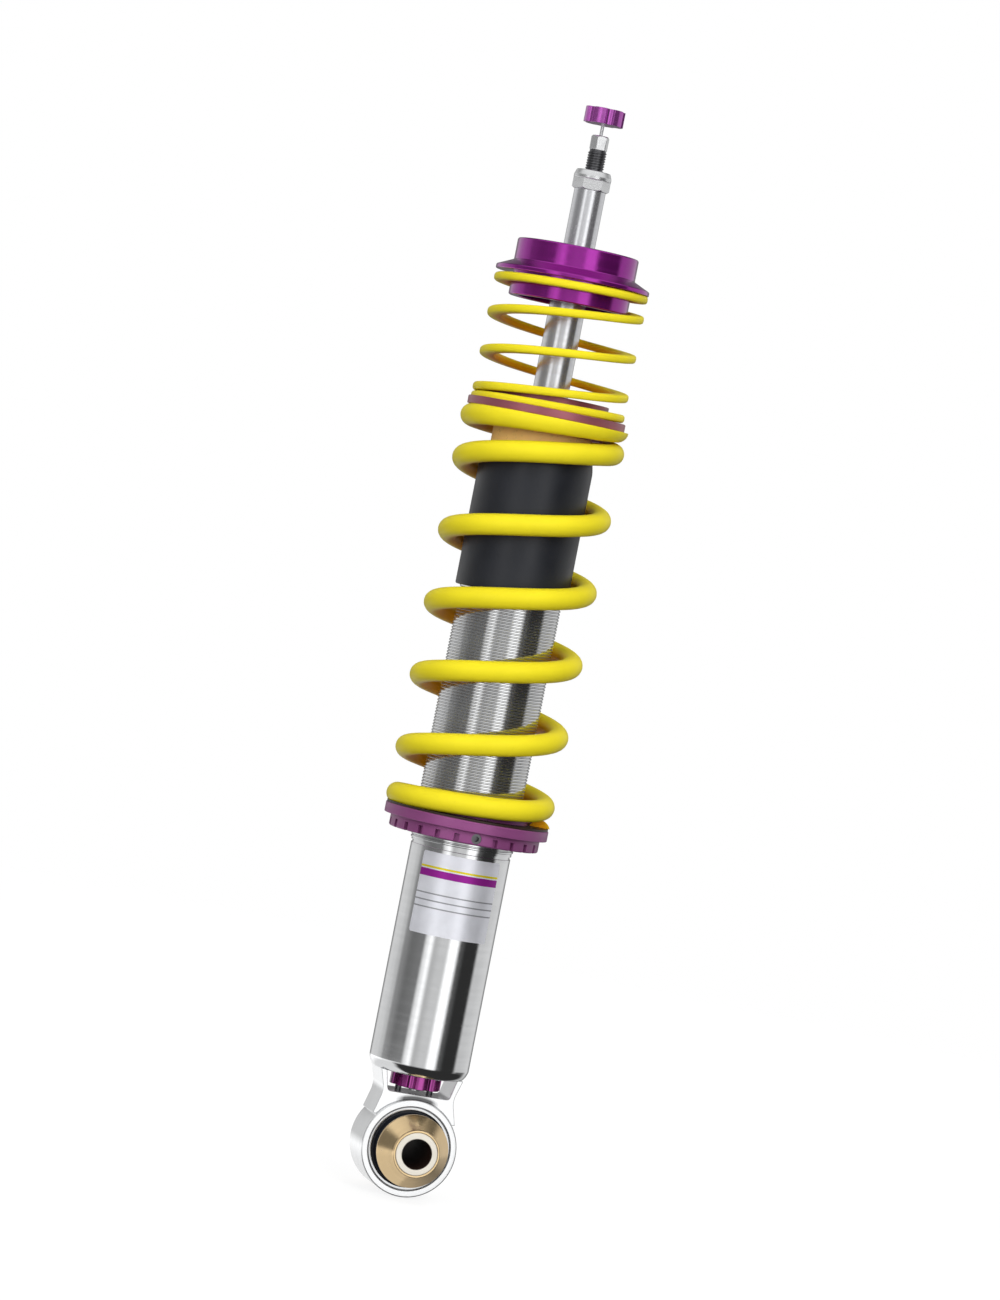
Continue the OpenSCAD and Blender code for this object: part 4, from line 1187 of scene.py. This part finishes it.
class COILOVER_OT_rod(bpy.types.Operator):
    """Make the rod, its threaded stud, the spacer sleeve and the top nut"""
    bl_idname = "coilover.rod"
    bl_label = "Rod, sleeve and nut"

    def execute(self, context):
        sizes = context.scene.coilover_sizes
        edge = sizes.soft_edge
        shoulder, tip = low("spacer_sleeve") - PLATE, high("piston_rod") - 7 * MM
        stud, piston = tip - 10.5 * MM, high("piston") + 1.4 * MM
        wide, lower, bore = reach("piston_rod"), 5 * MM, 1.65 * MM
        root, crest = 4.0 * MM, 4.5 * MM
        bottom = low("piston_rod")
        rod = lathe([(bore, bottom, 0), (lower, bottom, edge), (lower, piston, 0),
                     (wide, piston, edge), (wide, shoulder, 0.6 * MM), (SHANK, shoulder, 0),
                     (SHANK, stud, edge), (root, stud, 0), (root, tip, 0), (bore, tip, 0)],
                    96)
        to_piece("rod_ground", rod, "chromed_rod", "rod", "piston_rod")
        thread = thread_ridge(root, crest, sizes.stud_pitch, stud, tip, 48)
        core = turned_ring(bore, root + 0.02 * MM, stud, tip, 0, 64)
        to_piece("rod_stud", join(core, thread), "black_steel", "rod", "piston_rod",
                 sharp=25, even=False)
        self.tip(tip, bore)
        sleeve = turned_ring(SHANK, reach("spacer_sleeve"), low("spacer_sleeve"),
                             high("spacer_sleeve"), edge, 96)
        to_piece("spacer_sleeve_polished", sleeve, "chromed_rod", "rod", "spacer_sleeve")
        self.nut(sizes.nut_angle)
        return {"FINISHED"}

    def tip(self, bottom, bore):
        """Hexagonal tip that holds the rod still while the nut is turned."""
        top = high("piston_rod")
        foot = bottom - MM
        crown = lathe([(0, foot, 0), (4.4 * MM, foot, 0), (4.55 * MM, top - 0.8 * MM, 0),
                       (3.7 * MM, top, 0), (0, top, 0)], 64)
        flats = carve(hexagon(8 * MM, bottom, top, math.pi / 6), [crown], "INTERSECT")
        flats = carve(flats, [cylinder(bore, foot, top + MM, 40)])
        piece = to_piece("rod_tip", flats, "machined_steel", "rod", "piston_rod")
        break_edges(piece, 0.15 * MM)

    def nut(self, facing):
        """A hexagon with chamfered corners under a round flange."""
        bottom, top = low("top_nut"), high("top_nut")
        flange, across, wide = bottom + 5.1 * MM, 16 * MM, 9.25 * MM
        corner = corner_radius(across)
        beyond = corner + 0.1 * MM
        crown = lathe([(0, bottom, 0), (corner - 0.9 * MM, bottom, 0),
                       (beyond, bottom + 0.7 * MM, 0), (beyond, top, 0), (0, top, 0)], 96)
        body = carve(hexagon(across, bottom, flange + 0.2 * MM, facing), [crown], "INTERSECT")
        washer = lathe([(0, flange, 0), (wide, flange, 0.4 * MM),
                        (wide, flange + 1.6 * MM, 0.4 * MM),
                        (wide - 0.95 * MM, top, 0.5 * MM), (0, top, 0)], 96)
        nut = carve(carve(body, [washer], "UNION"), [cylinder(SHANK, bottom - MM, top + MM, 64)])
        piece = to_piece("top_nut_flanged", nut, "machined_steel", "rod", "top_nut")
        break_edges(piece, 0.2 * MM)


class COILOVER_OT_knob(bpy.types.Operator):
    """Make the rebound knob with its digits and stem"""
    bl_idname = "coilover.knob"
    bl_label = "Rebound knob"

    def execute(self, context):
        bottom, top, rim = low("rebound_knob"), high("rebound_knob"), 9.75 * MM
        stem_r = reach("knob_stem")
        hole = cylinder(stem_r, bottom - MM, bottom + 4 * MM, 32)
        piece = to_piece("knob_lobed", lobed_disc(6, rim, bottom, top, 96, hole),
                         "lilac_anodised", "knob", "rebound_knob")
        break_edges(piece, 0.5 * MM, segments=3)
        stem = cylinder(stem_r, low("knob_stem"), high("knob_stem"), 32)
        to_piece("knob_stem_drawn", stem, "machined_steel", "knob", "knob_stem")
        self.digits(top, rim, context.scene.coilover_sizes.digit_height)
        return {"FINISHED"}

    def digits(self, top, rim, height):
        """Digits 0 to 5 on the lobes, clockwise, with a plus and a minus inside."""
        marks = [(str(index), 0.72 * rim, -120 - 60 * index, height) for index in range(6)]
        marks += [("+", 0.3 * rim, 20, 0.8 * height), ("-", 0.3 * rim, 160, 0.8 * height)]
        filled = bmesh.new()
        for text, away, angle, size in marks:
            curve = bpy.data.curves.new("digit", "FONT")
            curve.body = text
            curve.size = size
            curve.align_x = curve.align_y = "CENTER"
            curve.resolution_u = 3
            holder = bpy.data.objects.new("digit", curve)
            mesh = bpy.data.meshes.new_from_object(holder)
            turn = math.radians(angle)
            place = (away * math.cos(turn), away * math.sin(turn), top - 0.04 * MM)
            mesh.transform(Matrix.Translation(place)
                           @ Matrix.Rotation(turn - math.pi / 2, 4, "Z"))
            filled.from_mesh(mesh)
            bpy.data.meshes.remove(mesh)
            bpy.data.objects.remove(holder)
            bpy.data.curves.remove(curve)
        bmesh.ops.remove_doubles(filled, verts=filled.verts[:], dist=1e-7)
        face_outwards(filled)
        raise_faces(filled, filled.faces[:], -0.2 * MM)
        shift(filled, (0, 0, 0.03 * MM))
        face_outwards(filled)
        to_piece("knob_digits", filled, "white_ink", "knob",
                 even=False)


class COILOVER_OT_inside(bpy.types.Operator):
    """Give the pieces inside the damper and the small ones their finish"""
    bl_idname = "coilover.inside"
    bl_label = "Inner and small pieces"

    finishes = {
        "machined_steel": ("pressure_tube", "rod_guide", "gland_nut", "detent_ball",
                           "detent_spring", "rebound_stop", "piston", "upper_shims",
                           "lower_shims", "piston_nut", "rebound_spindle",
                           "compression_spindle"),
        "bronze": ("foot_valve", "guide_bush", "lock_pad", "piston_band", "rebound_needle",
                   "compression_needle"),
        "black_rubber": ("guide_oring", "rod_seal", "spindle_oring"),
        "black_plastic": ("slip_washer",),
        "black_steel": ("wheel_support", "grub_screw"),
    }

    def execute(self, context):
        for finish, nodes in self.finishes.items():
            for node in nodes:
                piece = frame["nodes"][node]
                if not piece.material_slots:
                    piece.data.materials.append(None)
                for socket in piece.material_slots:
                    socket.material = FINISHES[finish]
        return {"FINISHED"}


class COILOVER_OT_stage(bpy.types.Operator):
    """Set up the floor, the white surround, the lamps and the camera"""
    bl_idname = "coilover.stage"
    bl_label = "Stage"

    def execute(self, context):
        scene, sizes = context.scene, context.scene.coilover_sizes
        scene.view_settings.view_transform = "Standard"
        self.surround(scene)
        self.floor()
        self.wall(sizes.camera_side)
        self.lamps(sizes.camera_side)
        self.camera(scene, sizes)
        return {"FINISHED"}

    def surround(self, scene):
        """A soft grey light, seen as white by the camera and in metal."""
        world = scene.world = bpy.data.worlds.new("surround")
        world.use_nodes = True
        wire = Wiring(world.node_tree)
        ray = wire.node("LightPath").outputs
        seen = wire.most(ray["Is Camera Ray"],
                         wire.most(ray["Is Glossy Ray"], ray["Is Transmission Ray"]))
        up = wire.split(wire.node("TexCoord").outputs["Generated"])[2]
        soft = wire.spread(up, -0.3, 0.5, 0.08, 0.45)
        background = world.node_tree.nodes["Background"].inputs
        wire.feed(background["Color"], (1, 1, 1, 1))
        wire.feed(background["Strength"], wire.most(seen, soft))

    def floor(self):
        """A pale floor just under the eye, which fades out far away."""
        bm = bmesh.new()
        bmesh.ops.create_circle(bm, cap_ends=True, segments=96, radius=1.6)
        shift(bm, (0, 0, low("eye_ring") - 0.5 * MM))
        floor = add_mesh("floor", bm)
        finish = Finish("floor", 0.0, 0.9, Base_Color=(0.2, 0.2, 0.2, 1),
                        Specular_IOR_Level=0.0, Emission_Color=(1, 1, 1, 1))
        wire = finish.wire
        seen = wire.node("LightPath").outputs["Is Camera Ray"]
        finish.put(Emission_Strength=wire.times(seen, 0.84),
                   Alpha=wire.spread(finish.radius(), 0.35, 1.5, 1.0, 0.0))
        floor.data.materials.append(finish.material)
        floor.visible_glossy = False

    # Brightness of the wall, by the angle from the camera, left to right
    strips = ((-180, 0.12), (-160, 0.2), (-145, 0.53), (-120, 0.5), (-104, 0.41),
              (-92, 0.2), (-70, 0.12), (-44, 0.145), (-34, 0.68), (-26, 0.94), (-15, 0.39),
              (0, 0.48), (12, 0.48), (21, 1.0), (33, 1.0), (44, 0.075), (58, 0.02),
              (84, 0.02), (95, 0.46), (145, 0.53), (160, 0.2), (180, 0.12))

    def wall(self, facing):
        """A round wall with bright strips and dark gaps, seen only as reflections in metal."""
        bm = bmesh.new()
        bmesh.ops.create_cone(bm, cap_ends=True, segments=96, radius1=1.9, radius2=1.9,
                              depth=3.0, matrix=Matrix.Translation((0, 0, 0.2)))
        wall = add_mesh("wall", bm)
        finish = Finish("wall", 0.0, 0.5, Base_Color=(0, 0, 0, 1), Specular_IOR_Level=0.0,
                        Emission_Color=(1, 1, 1, 1))
        wire = finish.wire
        turned = wire.node("Mapping")
        turned.inputs["Rotation"].default_value = (0, 0, -facing)
        wire.feed(turned.inputs["Vector"], finish.place)
        across, away, up = wire.split(turned.outputs["Vector"])
        ahead = wire.times(away, -1.0)
        turn = wire.math("ARCTAN2", across, ahead)
        ramp = wire.node("ValToRGB")
        ramp.color_ramp.interpolation = "EASE"
        stops = ramp.color_ramp.elements
        for index, (degrees, level) in enumerate(self.strips):
            if index >= len(stops):
                stops.new(1.0)
            stops[index].position = degrees / 360 + 0.5
            stops[index].color = (level, level, level, 1)
        wire.feed(ramp.inputs["Fac"], wire.spread(turn, -math.pi, math.pi))
        # From here angles are in radians from the camera's side, and heights in metres
        left = wire.spread(turn, -0.8, -0.62, 0.75, 0.0)
        right = wire.times(wire.spread(turn, 1.5, 1.8, 0.0, 0.5),
                           wire.spread(turn, 2.2, 2.5, 1.0, 0.0))
        low_down = wire.spread(up, -0.34, -0.16, 1.0, 0.0)
        strips = wire.plus(wire.times(ramp.outputs["Color"], 1.35),
                           wire.times(low_down, wire.minus(left, right)))
        floor = wire.most(wire.spread(turn, -1.2, -0.95, 0.8, 0.03),
                          wire.spread(turn, 2.3, 2.6, 0.03, 0.5))
        level = wire.blend(wire.spread(up, -0.9, -0.4, 1.0, 0.0), wire.most(strips, 0.03),
                           floor)
        roof = wire.spread(ahead, -0.7, 0.3, 0.1, 0.9)
        finish.put(Emission_Strength=wire.blend(wire.spread(up, 1.0, 1.6), level, roof))
        wall.data.materials.append(finish.material)
        for kind in ("camera", "diffuse", "transmission", "volume_scatter", "shadow"):
            setattr(wall, "visible_" + kind, False)

    def lamps(self, facing):
        """Two broad soft boxes before the unit, one over it and one behind it, which metal
        doesn't show."""
        target = Vector((0, 0, 0.25))
        for name, side, away, height, size, power in (
                ("key", 24, 2.1, 0.95, 1.3, 27), ("fill", -30, 2.1, 0.6, 1.3, 20),
                ("top", 0, 0.3, 2.2, 1.4, 10), ("back", 160, 2.0, 1.2, 1.3, 16)):
            light = bpy.data.lights.new(name, "AREA")
            light.shape = "SQUARE"
            light.size = size
            light.energy = power
            lamp = add_object(name, light)
            turn = facing + math.radians(side)
            lamp.location = (away * math.sin(turn), -away * math.cos(turn), height)
            lamp.rotation_euler = aim(target - lamp.location).to_euler()
            lamp.visible_camera = lamp.visible_glossy = False

    def camera(self, scene, sizes):
        """A level camera, rolled so that the unit leans to the right."""
        data = bpy.data.cameras.new("camera")
        data.sensor_fit = "VERTICAL"
        data.sensor_height = 36
        data.lens = sizes.lens
        camera = scene.camera = add_object("camera", data)
        side, away = sizes.camera_side, sizes.camera_distance
        camera.location = (away * math.sin(side), -away * math.cos(side), sizes.camera_height)
        facing = aim(Vector((0, 0, sizes.picture_middle)) - camera.location).to_matrix()
        camera.rotation_euler = (facing @ Matrix.Rotation(sizes.lean, 3, "Z")).to_euler()


def aim(ahead):
    """The turn of a lamp or a camera that looks along a direction, upright."""
    return ahead.to_track_quat("-Z", "Y")


class COILOVER_PT_panel(bpy.types.Panel):
    """Lists the steps that build the coilover"""
    bl_idname = "COILOVER_PT_panel"
    bl_label = "Coilover"
    bl_space_type = "VIEW_3D"
    bl_region_type = "UI"
    bl_category = "Coilover"

    def draw(self, context):
        for step in STEPS:
            self.layout.operator(step.bl_idname)
        for group in (context.scene.coilover_sizes, context.scene.coilover_colours):
            box = self.layout.box()
            for name in group.bl_rna.properties.keys():
                if name not in ("rna_type", "name"):
                    box.prop(group, name)


STEPS = (COILOVER_OT_finishes, COILOVER_OT_stage, COILOVER_OT_body, COILOVER_OT_eye,
         COILOVER_OT_neck, COILOVER_OT_perch, COILOVER_OT_springs, COILOVER_OT_coupler,
         COILOVER_OT_bump, COILOVER_OT_top_perch, COILOVER_OT_rod, COILOVER_OT_knob,
         COILOVER_OT_inside)
CLASSES = (CoiloverSizes, CoiloverColours) + STEPS + (COILOVER_PT_panel,)


def register():
    for entry in CLASSES:
        bpy.utils.register_class(entry)
    bpy.types.Scene.coilover_sizes = PointerProperty(type=CoiloverSizes)
    bpy.types.Scene.coilover_colours = PointerProperty(type=CoiloverColours)


def unregister():
    del bpy.types.Scene.coilover_sizes
    del bpy.types.Scene.coilover_colours
    for entry in reversed(CLASSES):
        bpy.utils.unregister_class(entry)


def main():
    register()
    for step in STEPS:
        operator = getattr(bpy.ops.coilover, step.bl_idname.split(".")[1])
        operator()


if __name__ == "__main__":
    main()
